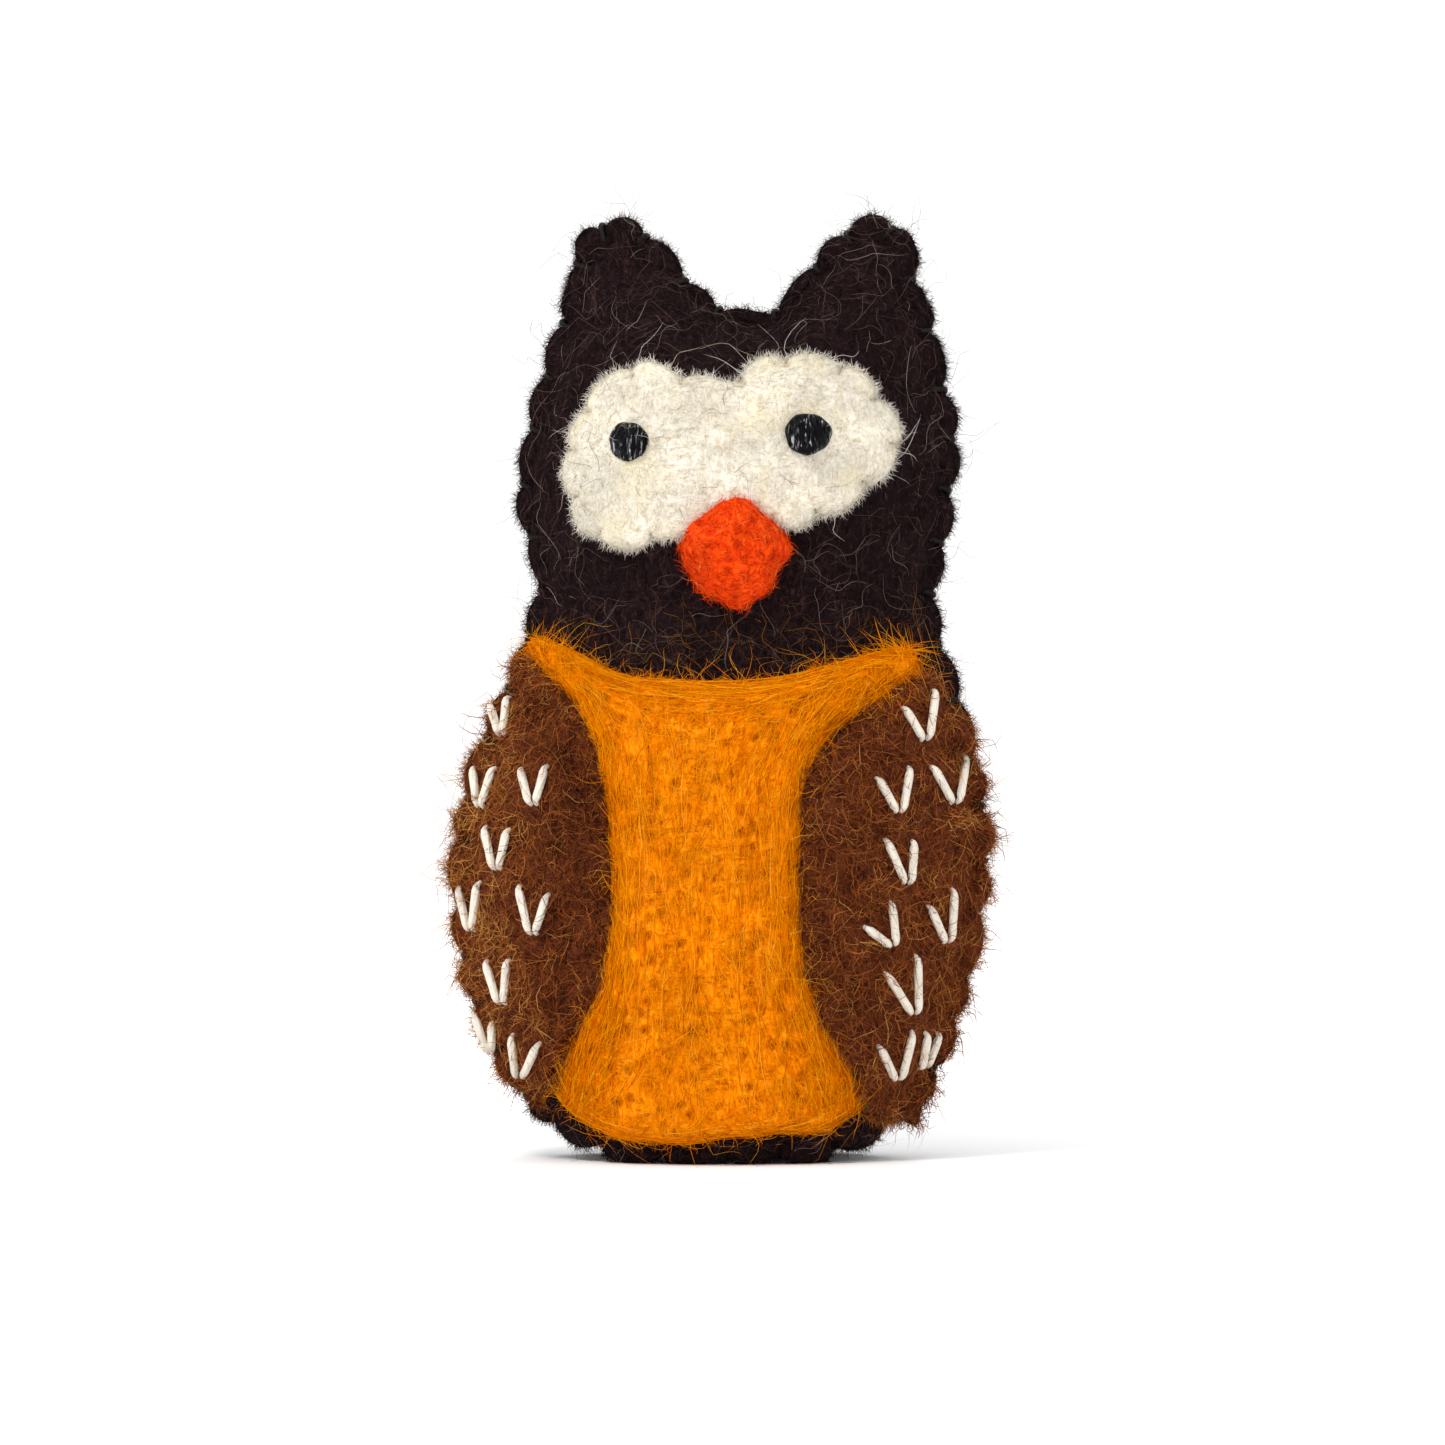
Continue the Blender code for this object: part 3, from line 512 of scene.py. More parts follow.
def sheet_grid(spec):
    """A felt sheet's mid-surface pushed out and in to its two faces.

    The patch between the edges is notched and grooved by the stitches. Its middle lies straight
    before (x, z) at the panel's depth and the sheet's own lift. The half thickness is the felt's,
    times the root of one less the square of the share of the rounding that is left at the edge.
    A pressed sheet's rim bends in towards the seam by the root of one less the square of how
    much of the rounding is done. Nothing goes under the floor."""
    s, t = shares(spec["columns"], spec["rows"])
    x, z = four_sided(*spec["edges"], s, t)
    ring = ring_of(spec["edges"])
    e = edge_distance(x, z, ring)
    notch, groove = puckers(x, z, spec["stitches"], spec["bite"])
    near = np.exp(-((e / (2.4 * MM)) ** 2))
    x, z = push(x, z, ring, near * (spec["proud"] - spec["scallop"] * notch))
    felt = spec["felt"]
    round_off = np.clip(e / (0.62 * felt), 0, 1)
    half = felt / 2 * np.sqrt(1 - (1 - round_off) ** 2)
    skin = 0.34 * MM * groove * near - 0.16 * MM * waves(x, z, 6 * MM, spec["seed"] + 9)
    skin = skin * round_off
    hills = spec["lumps"] * waves(x, z, spec["lump_size"], spec["seed"])
    lift = spec["lift"](x, z, e) - spec["pull"] * groove + hills
    depth = fullness(x, z) + lift
    side = spec["side"]
    if spec["pressed"]:
        depth = depth - (felt / 2 - 0.28 * MM) * np.sqrt(1 - round_off**2)
    middle = np.stack([x, side * depth, z], axis=-1)
    normal = grid_normals(middle) * -side
    outer = middle + normal * (half - skin)[..., None]
    inner = middle - normal * half[..., None]
    for face in (outer, inner):
        face[..., 2] = np.maximum(face[..., 2], 0)
    return {
        "outer": outer,
        "inner": inner,
        "normal": normal,
        "groove": groove,
        "edge": e,
        "side": side,
        "x": x,
        "z": z,
    }


def panel_spec(side):
    felt = sizes().panel_felt
    return {
        "edges": panel_edges(), "columns": 84, "rows": 190, "felt": felt, "side": side,
        "stitches": joined(seam_stitches(), hem_stitches(21 if side < 0 else 22)),
        "bite": sizes().seam_bite, "proud": 0.55 * MM, "scallop": sizes().scallop,
        "lift": lambda x, z, e: 0.02 * MM + felt / 2, "lumps": 0.0, "pressed": True,
        "lump_size": 7 * MM, "pull": 0.0, "seed": 3 + side,
    }


def wing_edge(side, z):
    outline, sign = (LEFT_SIDE, -1) if side == "left" else (RIGHT_SIDE, 1)
    f = np.clip((z - up(TUCK_START)) / up(WING_TOPS[side] - TUCK_START), 0, 1)
    return side_at(outline, z) + sign * across(0.35 - WING_TUCKS[side] * f**2)


def wing_edges(side):
    """The four edges of a wing: hem, bib side or seam side, shoulder, seam side or bib side."""
    left = side == "left"
    top = up(WING_TOPS[side])
    lower = WING_LEFT_BOTTOM if left else WING_RIGHT_BOTTOM
    bib, sign = (BIB_LEFT, -1) if left else (BIB_RIGHT, 1)

    def outer(t):
        start = lower[0] if left else lower[-1]
        z = up(start[1]) + (top - up(start[1])) * t
        return wing_edge(side, z) + (across(start[0]) - wing_edge(side, up(start[1]))) * (1 - t) ** 4, z

    def inner(t):
        start = lower[-1] if left else lower[0]
        z = up(start[1]) + (top - up(start[1])) * t
        x = side_at(bib, z) + sign * across(0.1)
        first = side_at(bib, up(start[1])) + sign * across(0.1)
        return x + (across(start[0]) - first) * (1 - t) ** 4, z

    def bottom(s):
        return route(lower, s)

    def upper(s):
        ends = (outer(1.0)[0], inner(1.0)[0]) if left else (inner(1.0)[0], outer(1.0)[0])
        return ends[0] + (ends[1] - ends[0]) * s, np.full_like(s, top)

    return (bottom, inner, upper, outer) if left else (bottom, outer, upper, inner)


def wing_spec(side):
    felt = sizes().wing_felt
    edges = wing_edges(side)
    seam = seam_stitches()
    level = seam["at"][:, 1]
    sign = -1 if side == "left" else 1
    keep = (level < up(WING_TOPS[side])) & (seam["at"][:, 0] * sign > 0)
    side_set = {key: value[keep] for key, value in seam.items()}
    lower = line_of(lambda t: edges[0](1 - t))
    return {
        "edges": edges, "columns": 52, "rows": 110, "felt": felt, "side": -1,
        "stitches": joined(side_set, stitches_on(lower, sizes().seam_pitch, 31)),
        "bite": 1.9 * MM, "proud": 0.3 * MM, "scallop": 1.25 * sizes().scallop,
        "lift": lambda x, z, e: sizes().panel_felt + 0.12 * MM + felt / 2
        + 0.55 * MM * step_up(0, 5 * MM, e),
        "lumps": 0.3 * MM, "lump_size": 4.5 * MM, "pull": 0.8 * MM, "pressed": False,
        "seed": 11 if sign < 0 else 12,
    }


def bib_edges():
    def left(t):
        z = up(BIB_LEFT[0][0]) + up(BIB_LEFT[-1][0] - BIB_LEFT[0][0]) * t
        return side_at(BIB_LEFT, z), z

    def right(t):
        z = up(BIB_RIGHT[0][0]) + up(BIB_RIGHT[-1][0] - BIB_RIGHT[0][0]) * t
        return side_at(BIB_RIGHT, z), z

    return lambda s: route(BIB_BOTTOM, s), right, lambda s: route(BIB_TOP, s), left


def mask_edges():
    return tuple(
        lambda share, points=points: route(points, share)
        for points in (MASK_BOTTOM, MASK_RIGHT, MASK_TOP, MASK_LEFT)
    )


def mask_spec():
    felt = sizes().mask_felt
    edges = mask_edges()
    bottom, right, top, left = edges
    line = line_of(left, top, lambda t: right(1 - t), lambda t: bottom(1 - t), count=120)
    return {
        "edges": edges, "columns": 110, "rows": 72, "felt": felt, "side": -1,
        "stitches": stitches_on(line, 5.4 * MM, 41), "bite": 1.5 * MM, "proud": -0.2 * MM,
        "scallop": 0.95 * MM,
        "lift": lambda x, z, e: sizes().panel_felt + 0.1 * MM + felt / 2,
        "lumps": 0.14 * MM, "lump_size": 4 * MM, "pull": 0.4 * MM, "pressed": False,
        "seed": 13,
    }


def needle_pits(x, z, ring, pitch, radius, seed):
    """Pits left by the felting needle: one in each cell of a jittered grid, each a bell curve."""
    rng = np.random.default_rng(seed)
    low, high = ring.min(axis=0), ring.max(axis=0)
    gx, gz = np.meshgrid(np.arange(low[0], high[0], pitch), np.arange(low[1], high[1], pitch))
    cx = (gx + rng.uniform(-0.5, 0.5, gx.shape) * pitch).ravel()
    cz = (gz + rng.uniform(-0.5, 0.5, gz.shape) * pitch).ravel()
    deep = rng.uniform(0.3, 1.0, cx.shape)
    found = np.zeros(np.shape(x))
    for px, pz, d in zip(cx, cz, deep):
        found = np.maximum(found, d * np.exp(-((x - px) ** 2 + (z - pz) ** 2) / radius**2))
    return found


def bib_grid():
    """The bib: a needled pad, thickest along its sides, whose face is pitted and whose edges round
    off by a quarter ellipse onto the panel."""
    edges = bib_edges()
    s, t = shares(92, 156)
    x, z = four_sided(*edges, s, t)
    ring = ring_of(edges)
    e = edge_distance(x, z, ring)
    uneven = 1 + 0.35 * waves(x, z, 4 * MM, 5)
    x, z = push(x, z, ring, 0.3 * MM * np.exp(-((e / (2.5 * MM)) ** 2)) * uneven)
    rim = np.clip(e / (1.6 * MM), 0, 1)
    pits = needle_pits(x, z, ring, 1.9 * MM, 0.4 * MM, 51) * step_up(1.2 * MM, 2.6 * MM, e)
    sides = np.minimum(s, 1 - s) * 20 * MM
    ridge = np.exp(-(((sides - 2.2 * MM) / (1.5 * MM)) ** 2)) * step_up(up(8), up(16), z)
    thick = sizes().bib_wool * (1 + 0.2 * ridge + 0.12 * waves(x, z, 3.5 * MM, 6)) - 0.6 * MM * pits
    thick = thick + 0.1 * MM * waves(3 * x, z, 2.2 * MM, 8)
    base = sizes().panel_felt + 0.1 * MM
    front = base + thick * np.sqrt(1 - (1 - rim) ** 2)
    depth = fullness(x, z)
    outer = np.stack([x, -(depth + front), z], axis=-1)
    inner = np.stack([x, -(depth + base), z], axis=-1)
    # The pits go out as the groove, which the material darkens as painted shade.
    return {
        "outer": outer, "inner": inner, "normal": grid_normals(outer), "groove": pits,
        "edge": e, "side": -1, "x": x, "z": z,
    }


# ---------------------------------------------------------------- meshes


def new_piece(name, points, faces, material, smooth_faces=True):
    """A mesh of whole arrays: points, and faces as rows of three or four point numbers."""
    mesh = bpy.data.meshes.new(name)
    faces = [np.asarray(part) for part in faces]
    mesh.vertices.add(len(points))
    mesh.vertices.foreach_set("co", np.ascontiguousarray(points, np.float32).ravel())
    corners = np.concatenate([part.ravel() for part in faces]).astype(np.int32)
    totals = np.concatenate([np.full(len(part), part.shape[1]) for part in faces]).astype(np.int32)
    starts = np.concatenate([[0], np.cumsum(totals)[:-1]]).astype(np.int32)
    mesh.loops.add(len(corners))
    mesh.loops.foreach_set("vertex_index", corners)
    mesh.polygons.add(len(totals))
    mesh.polygons.foreach_set("loop_start", starts)
    mesh.polygons.foreach_set("loop_total", totals)
    mesh.polygons.foreach_set("use_smooth", np.full(len(totals), smooth_faces))
    mesh.update(calc_edges=True)
    mesh.validate()
    piece = bpy.data.objects.new(name, mesh)
    bpy.context.scene.collection.objects.link(piece)
    mesh.materials.append(material)
    return piece


def set_attribute(piece, name, values):
    """Keeps one number for each point, for the material to read."""
    attribute = piece.data.attributes.new(name, "FLOAT", "POINT")
    attribute.data.foreach_set("value", np.ascontiguousarray(values, np.float32).ravel())


def grid_faces(rows, columns):
    """Quads between neighbouring points of a grid that is numbered row by row."""
    a = (np.arange(rows - 1)[:, None] * columns + np.arange(columns - 1)).ravel()
    return np.stack([a, a + 1, a + columns + 1, a + columns], axis=1)


def sheet_piece(name, grid, material):
    """Closes a sheet's two faces. Their edge points are the same, so the second face takes the
    first one's there."""
    outer, inner = grid["outer"], grid["inner"]
    rows, columns = outer.shape[:2]
    number = np.arange(rows * columns).reshape(rows, columns)
    second = number.copy()
    second[1:-1, 1:-1] = rows * columns + np.arange((rows - 2) * (columns - 2)).reshape(rows - 2, -1)
    points = np.concatenate([outer.reshape(-1, 3), inner[1:-1, 1:-1].reshape(-1, 3)])
    quads = grid_faces(rows, columns)
    back = second.ravel()[quads][:, ::-1]
    if grid["side"] > 0:
        quads, back = quads[:, ::-1], back[:, ::-1]
    piece = new_piece(name, points, [quads, back], material)
    # The material darkens the colour by groove: painted shade in the stitch grooves and pits.
    groove = np.concatenate([grid["groove"].ravel(), grid["groove"][1:-1, 1:-1].ravel()])
    set_attribute(piece, "groove", np.clip(groove, 0, 1))
    return piece


def closed_dome(name, points, material, groove=None):
    """A closed surface from a grid that wraps round its columns and ends in two poles."""
    rows, columns = points.shape[:2]
    number = np.arange(rows * columns).reshape(rows, columns)
    a, b = number[:-1], np.roll(number, -1, axis=1)[:-1]
    c, d = np.roll(number, -1, axis=1)[1:], number[1:]
    quads = np.stack([a, b, c, d], axis=-1).reshape(-1, 4)
    poles = np.stack([points[0].mean(axis=0), points[-1].mean(axis=0)])
    first, last = rows * columns, rows * columns + 1
    start = np.stack([np.roll(number[0], -1), number[0], np.full(columns, first)], axis=1)
    end = np.stack([number[-1], np.roll(number[-1], -1), np.full(columns, last)], axis=1)
    everything = np.concatenate([points.reshape(-1, 3), poles])
    piece = new_piece(name, everything, [quads, start, end], material)
    # groove here is the needle pits, which the material darkens as painted shade.
    if groove is not None:
        ends = [groove[0].mean(), groove[-1].mean()]
        set_attribute(piece, "groove", np.concatenate([groove.ravel(), ends]))
    return piece


def tubes(name, paths, radii, material, sides=8, shape=None):
    """Closed tubes along many paths at once: rings of points square to each path, and a point at
    each end. paths is (tubes, stations, 3) and radii (tubes, stations). shape multiplies the
    radius by a function of the angle and the station."""
    count, stations = paths.shape[:2]
    along = unit(np.gradient(paths, axis=1))
    chord = unit(paths[:, -1] - paths[:, 0])
    guess = np.where(np.abs(chord[:, 1:2]) < 0.8, [[0.0, 1.0, 0.0]], [[1.0, 0.0, 0.0]])
    first = unit(guess[:, None] - (guess[:, None] * along).sum(axis=-1, keepdims=True) * along)
    second = np.cross(along, first)
    angle = np.linspace(0, 2 * math.pi, sides, endpoint=False)
    swell = np.ones((1, stations, sides)) if shape is None else shape(angle, np.arange(stations))
    reach = radii[..., None] * swell
    points = (
        paths[:, :, None]
        + reach[..., None] * np.cos(angle)[:, None] * first[:, :, None]
        + reach[..., None] * np.sin(angle)[:, None] * second[:, :, None]
    )
    number = np.arange(count * stations * sides).reshape(count, stations, sides)
    turned = np.roll(number, -1, axis=2)
    quads = np.stack([number[:, :-1], turned[:, :-1], turned[:, 1:], number[:, 1:]], axis=-1)
    tips = count * stations * sides + np.arange(2 * count).reshape(count, 2)
    low = np.stack([turned[:, 0], number[:, 0], np.repeat(tips[:, :1], sides, axis=1)], axis=-1)
    high = np.stack([number[:, -1], turned[:, -1], np.repeat(tips[:, 1:], sides, axis=1)], axis=-1)
    ends = np.stack([paths[:, 0], paths[:, -1]], axis=1).reshape(-1, 3)
    faces = [quads.reshape(-1, 4), low.reshape(-1, 3), high.reshape(-1, 3)]
    return new_piece(name, np.concatenate([points.reshape(-1, 3), ends]), faces, material)


def scatter(grid, count, rng, weight=None):
    """Random places on a grid's outer face, as likely as their cell's area times its weight:
    (points, normals, the way up the sheet, the cells' numbers)."""
    outer = grid["outer"]
    ds = outer[:-1, 1:] - outer[:-1, :-1]
    dt = outer[1:, :-1] - outer[:-1, :-1]
    area = np.linalg.norm(np.cross(ds, dt), axis=-1)
    if weight is not None:
        area = area * weight
    share = area.ravel() / area.sum()
    cell = rng.choice(share.size, count, p=share)
    row, column = np.divmod(cell, outer.shape[1] - 1)
    a, b = rng.random((2, count, 1))
    low = outer[row, column] * (1 - a) + outer[row, column + 1] * a
    high = outer[row + 1, column] * (1 - a) + outer[row + 1, column + 1] * a
    spot = low * (1 - b) + high * b
    normal = unit(np.cross(ds, dt)[row, column]) * (-grid["side"])
    return spot, normal, unit(dt[row, column]), (row, column)


def cell_values(values):
    return (values[:-1, :-1] + values[1:, 1:]) / 2


def fibres(name, roots, normals, ways, look, tint, rng, material):
    """Wool fibres, each a three-sided tube that tapers to a point.

    A fibre runs from its root along its way, rises by its angle, waves from side to side by sines
    of random phase, curves to one side by the square of the share of its length, and bends back
    down to the surface by the square of its length over twice the surface's radius. Its UV place
    is (tint, share of its length)."""
    count = len(roots)
    stations = look["stations"]
    f = np.linspace(0, 1, stations + 1)[None, :, None]
    length = (look["length"] * rng.uniform(0.45, 1.35, count))[:, None, None]
    rise = np.radians(rng.uniform(*look["rise"], count))[:, None, None]
    side = unit(np.cross(normals, ways))[:, None]
    normals, ways = normals[:, None], ways[:, None]
    reach = length * f
    path = roots[:, None] + ways * reach * np.cos(rise) + normals * reach * np.sin(rise)
    path = path - normals * (look["hug"] * reach**2 / (2 * look["radius"]))
    for axis, share in ((side, 1.0), (ways, 0.5), (normals, 0.35)):
        turns = rng.uniform(0.4, 1.0, count)[:, None, None] * look["turns"]
        start = rng.uniform(0, 1, count)[:, None, None]
        wave = np.sin(2 * math.pi * (turns * f + start)) - np.sin(2 * math.pi * start)
        path = path + axis * (share * look["curl"]) * length * wave * np.minimum(1, 2 * f)
    bend = rng.normal(0, look["arc"], count)[:, None, None]
    path = path + side * (bend * length * f**2) - ways * (bend**2 * length * f**3 / 3)
    path = path - normals * (0.05 * MM)
    return hairs(name, path, look["thick"], tint, rng, material)


def hairs(name, path, thick, tint, rng, material):
    """The mesh of many fibres along paths of (fibres, stations, 3): triangles square to each path,
    thinner towards its end by the square of the share of the length, and a point at the end. A
    fibre that would go under the floor lies along it."""
    count, stations = len(path), path.shape[1] - 1
    f = np.linspace(0, 1, stations + 1)[None]
    path[..., 2] = np.maximum(path[..., 2], thick)
    thick = thick * rng.uniform(0.7, 1.3, count)[:, None]
    radii = thick / 2 * (1 - 0.75 * f**2)
    along = unit(np.gradient(path, axis=1))
    guess = unit(rng.normal(size=(count, 3)))[:, None]
    first = unit(guess - (guess * along).sum(axis=-1, keepdims=True) * along)
    second = np.cross(along, first)
    points = np.empty((count, 3 * stations + 1, 3))
    for i in range(3):
        angle = 2 * math.pi * i / 3
        ring = path + radii[..., None] * (math.cos(angle) * first + math.sin(angle) * second)
        points[:, i : 3 * stations : 3] = ring[:, :-1]
    points[:, -1] = path[:, -1]
    ring = np.arange(stations - 1)[:, None] * 3
    turn = np.arange(3)
    after = (turn + 1) % 3
    quads = np.stack([ring + turn, ring + after, ring + 3 + after, ring + 3 + turn], axis=-1)
    top = 3 * (stations - 1)
    tips = np.stack([top + turn, top + after, np.full(3, 3 * stations)], axis=-1)
    offset = (np.arange(count) * (3 * stations + 1))[:, None, None]
    all_quads = (quads.reshape(1, -1, 4) + offset).reshape(-1, 4)
    threes = np.concatenate([tips, [[0, 2, 1]]])
    all_threes = (threes[None] + offset).reshape(-1, 3)
    piece = new_piece(name, points.reshape(-1, 3), [all_quads, all_threes], material)
    layer = piece.data.uv_layers.new(name=FIBRE_MAP)
    v = np.concatenate([np.repeat(np.arange(stations), 3), [stations]]) / stations
    corner = np.empty(len(piece.data.loops), np.int32)
    piece.data.loops.foreach_get("vertex_index", corner)
    u_all = np.repeat(np.clip(tint, 0.01, 0.99), 3 * stations + 1)[corner]
    v_all = np.tile(0.05 + 0.9 * v, count)[corner]
    layer.data.foreach_set("uv", np.stack([u_all, v_all], axis=1).astype(np.float32).ravel())
    return piece


def combed(name, grid, count, look, across_sheet, keep, tint_at, rng, material):
    """Long wool that lies along a sheet's own rows or columns.

    A fibre starts at a random share of the grid, runs along it by its own length and wanders
    sideways by a sine and a slow drift. Its height over the face is a half sine of the share of
    its length, so both ends go into the wool. keep gives the chance that a start is kept."""
    rows, columns = grid["outer"].shape[:2]
    start = rng.random((3 * count, 2))
    start = start[rng.random(len(start)) < keep(start[:, 0], start[:, 1])][:count]
    count = len(start)
    f = np.linspace(0, 1, look["stations"] + 1)[None]
    reach = look["length"] * rng.uniform(0.5, 1.3, (count, 1))
    wide, tall = look["sheet"]
    turn = rng.uniform(0, 2 * math.pi, (count, 1))
    swing = 2 * math.pi * look["turns"] * f * rng.uniform(0.5, 1.2, (count, 1)) + turn
    wander = look["curl"] * np.sin(swing)
    wander = (wander + rng.normal(0, look["arc"], (count, 1)) * (f - 0.5)) * reach
    run = (f - 0.5) * reach
    s_run, t_run = (run, wander) if across_sheet else (wander, run)
    s = np.clip(start[:, :1] + s_run / wide, 0.004, 0.996) * (columns - 1)
    t = np.clip(start[:, 1:] + t_run / tall, 0.004, 0.996) * (rows - 1)
    i, j = np.minimum(t.astype(int), rows - 2), np.minimum(s.astype(int), columns - 2)
    a, b = (s - j)[..., None], (t - i)[..., None]
    low = grid["outer"][i, j] * (1 - a) + grid["outer"][i, j + 1] * a
    high = grid["outer"][i + 1, j] * (1 - a) + grid["outer"][i + 1, j + 1] * a
    normal = grid["normal"][i, j]
    height = rng.uniform(*look["lift"], (count, 1)) * np.sin(math.pi * f) ** 0.6 - 0.04 * MM
    path = low * (1 - b) + high * b + normal * height[..., None]
    tint = np.clip(tint_at(start, rng), 0, 1)
    return hairs(name, path, look["thick"], tint, rng, material)


def ways_at(ups, normals, rng, mean, spread):
    """Unit ways in the surface: the way up turned by an angle of this mean and spread, in degrees."""
    side = unit(np.cross(normals, ups))
    turn = np.radians(rng.normal(mean, spread, len(ups)))[:, None]
    flat = unit(ups - (ups * normals).sum(axis=1, keepdims=True) * normals)
    return flat * np.cos(turn) + side * np.sin(turn)


# ---------------------------------------------------------------- materials


def node(tree, kind, settings=None, **links):
    """Adds a node, sets its properties, and sets or links its inputs by name or number."""
    made = tree.nodes.new(kind)
    for key, value in (settings or {}).items():
        setattr(made, key, value)
    for key, value in links.items():
        socket = made.inputs[int(key[1:])] if key[0] == "i" and key[1:].isdigit() else None
        if socket is None:
            socket = made.inputs[key.replace("_", " ")]
        if isinstance(value, bpy.types.NodeSocket):
            tree.links.new(value, socket)
        else:
            socket.default_value = value
    return made


def new_material(name):
    material = bpy.data.materials.new(name)
    material.use_nodes = True
    tree = material.node_tree
    tree.nodes.clear()
    shader = tree.nodes.new("ShaderNodeBsdfPrincipled")
    out = tree.nodes.new("ShaderNodeOutputMaterial")
    tree.links.new(shader.outputs[0], out.inputs[0])
    return material, tree, shader


def ramp(tree, factor, stops):
    made = node(tree, "ShaderNodeValToRGB", None, Fac=factor)
    elements = made.color_ramp.elements
    while len(elements) < len(stops):
        elements.new(0.5)
    for element, (place, shade) in zip(elements, stops):
        element.position = place
        element.color = (*shade, 1)
    return made.outputs[0]


def millimetres(tree, stretch=(1, 1, 1)):
    """Object coordinates in millimetres, stretched along an axis by making its scale smaller."""
    place = node(tree, "ShaderNodeTexCoord")
    scale = [1000 / v for v in stretch]
    return node(tree, "ShaderNodeMapping", None, Vector=place.outputs["Object"], Scale=scale).outputs[0]


def noise(tree, place, per_mm, detail=3.0, rough=0.6, twist=0.0):
    made = node(
        tree, "ShaderNodeTexNoise", None, Vector=place, Scale=per_mm, Detail=detail,
        Roughness=rough, Distortion=twist,
    )
    return made.outputs[0]


def mix(tree, factor, a, b, kind="MIX"):
    made = tree.nodes.new("ShaderNodeMix")
    made.data_type = "RGBA"
    made.blend_type = kind
    for socket, value in ((made.inputs[0], factor), (made.inputs[6], a), (made.inputs[7], b)):
        if isinstance(value, bpy.types.NodeSocket):
            tree.links.new(value, socket)
        elif isinstance(value, (int, float)):
            socket.default_value = value
        else:
            socket.default_value = (*value, 1)
    return made.outputs[2]


def math_node(tree, kind, a, b):
    return node(tree, "ShaderNodeMath", {"operation": kind}, i0=a, i1=b).outputs[0]


def felt_material(name, shade, deep, light, gloss, patch=None):
    """Wet-felted sheep's wool: matted fibres a few hundredths of a millimetre thick, so matt all
    over, with darker streaks that are partly fibres of varied tone and partly painted shade in the
    gaps between them. Fibre streaks are drawn 0.25 mm wide, which is as fine as they show. The
    deep colour is also painted as shade in the stitch grooves and needle pits."""
    material, tree, shader = new_material(name)
    flat = millimetres(tree, (1, 1, 1))
    long_x = millimetres(tree, (3.2, 1, 1))
    long_z = millimetres(tree, (1, 1, 3.2))
    across_streaks = noise(tree, long_x, 2.4, 4.0, 0.65, 0.9)
    up_streaks = noise(tree, long_z, 2.6, 4.0, 0.65, 0.9)
    pick = ramp(tree, noise(tree, flat, 0.35, 2.0), [(0.42, (0, 0, 0)), (0.58, (1, 1, 1))])
    streaks = mix(tree, pick, across_streaks, up_streaks)
    # Partly painted shade: the deep stop stands for the shade in the gaps between the fibres.
    tone = ramp(tree, streaks, [(0.3, deep), (0.52, shade), (0.72, light)])
    cloudy = ramp(tree, noise(tree, flat, 0.18, 2.0), [(0.35, (0.82,) * 3), (0.65, (1.12,) * 3)])
    tone = mix(tree, 1.0, tone, cloudy, "MULTIPLY")
    if patch is not None:
        where = ramp(tree, noise(tree, flat, 0.16, 3.0), [(0.5, (0, 0, 0)), (0.72, (0.7,) * 3)])
        tone = mix(tree, where, tone, patch)
    # Painted shade: in the stitch grooves, and in the needle pits of the bib and beak, the colour is
    # mixed towards the deep colour.
    groove = node(tree, "ShaderNodeAttribute", {"attribute_name": "groove"}).outputs["Fac"]
    tone = mix(tree, math_node(tree, "MULTIPLY", groove, 0.75), tone, deep)
    tree.links.new(tone, shader.inputs["Base Color"])
    fine = noise(tree, flat, 5.5, 3.0, 0.7)
    height = mix(tree, 0.4, streaks, fine)
    bump = node(tree, "ShaderNodeBump", None, Height=height, Strength=0.75, Distance=0.3 * MM)
    tree.links.new(bump.outputs[0], shader.inputs["Normal"])
    shader.inputs["Roughness"].default_value = 0.95
    shader.inputs["Specular IOR Level"].default_value = gloss
    return material


def wool_material(name, stops, gloss=0.06, root=0.6):
    """Loose sheep's wool: single fibres, each one colour from root to tip, with painted shade that
    makes it darker towards its root, down among the other wool, and the low gloss of clean wool."""
    material, tree, shader = new_material(name)
    place = node(tree, "ShaderNodeUVMap", {"uv_map": FIBRE_MAP}).outputs[0]
    parts = node(tree, "ShaderNodeSeparateXYZ", None, Vector=place)
    tone = ramp(tree, parts.outputs[0], stops)
    # Painted shade: the colour is multiplied by root at a fibre's root, rising to full at 0.55 of its
    # length.
    shade = ramp(tree, parts.outputs[1], [(0.0, (root,) * 3), (0.55, (1.0,) * 3)])
    tree.links.new(mix(tree, 1.0, tone, shade, "MULTIPLY"), shader.inputs["Base Color"])
    shader.inputs["Roughness"].default_value = 0.7
    shader.inputs["Specular IOR Level"].default_value = gloss
    return material


def thread_material(name, shade, deep, gloss, twist):
    """Spun cotton thread: plies with painted shade, darker lines in the colour, between them and a
    dull gloss. The ply lines are drawn 0.3 mm apart, as coarse as they need to show."""
    material, tree, shader = new_material(name)
    place = millimetres(tree, (1, 1, 1))
    lines = noise(tree, place, twist, 2.0, 0.5, 1.5)
    # Painted shade: the deep stop darkens the lines between the plies.
    tone = ramp(tree, lines, [(0.3, deep), (0.6, shade)])
    tree.links.new(tone, shader.inputs["Base Color"])
    bump = node(tree, "ShaderNodeBump", None, Height=lines, Strength=0.3, Distance=0.08 * MM)
    tree.links.new(bump.outputs[0], shader.inputs["Normal"])
    shader.inputs["Roughness"].default_value = gloss
    shader.inputs["Specular IOR Level"].default_value = 0.25
    return material


def shades(*codes):
    """Even stops of a colour ramp from hex colours."""
    return [(i / (len(codes) - 1), linear(code)) for i, code in enumerate(codes)]


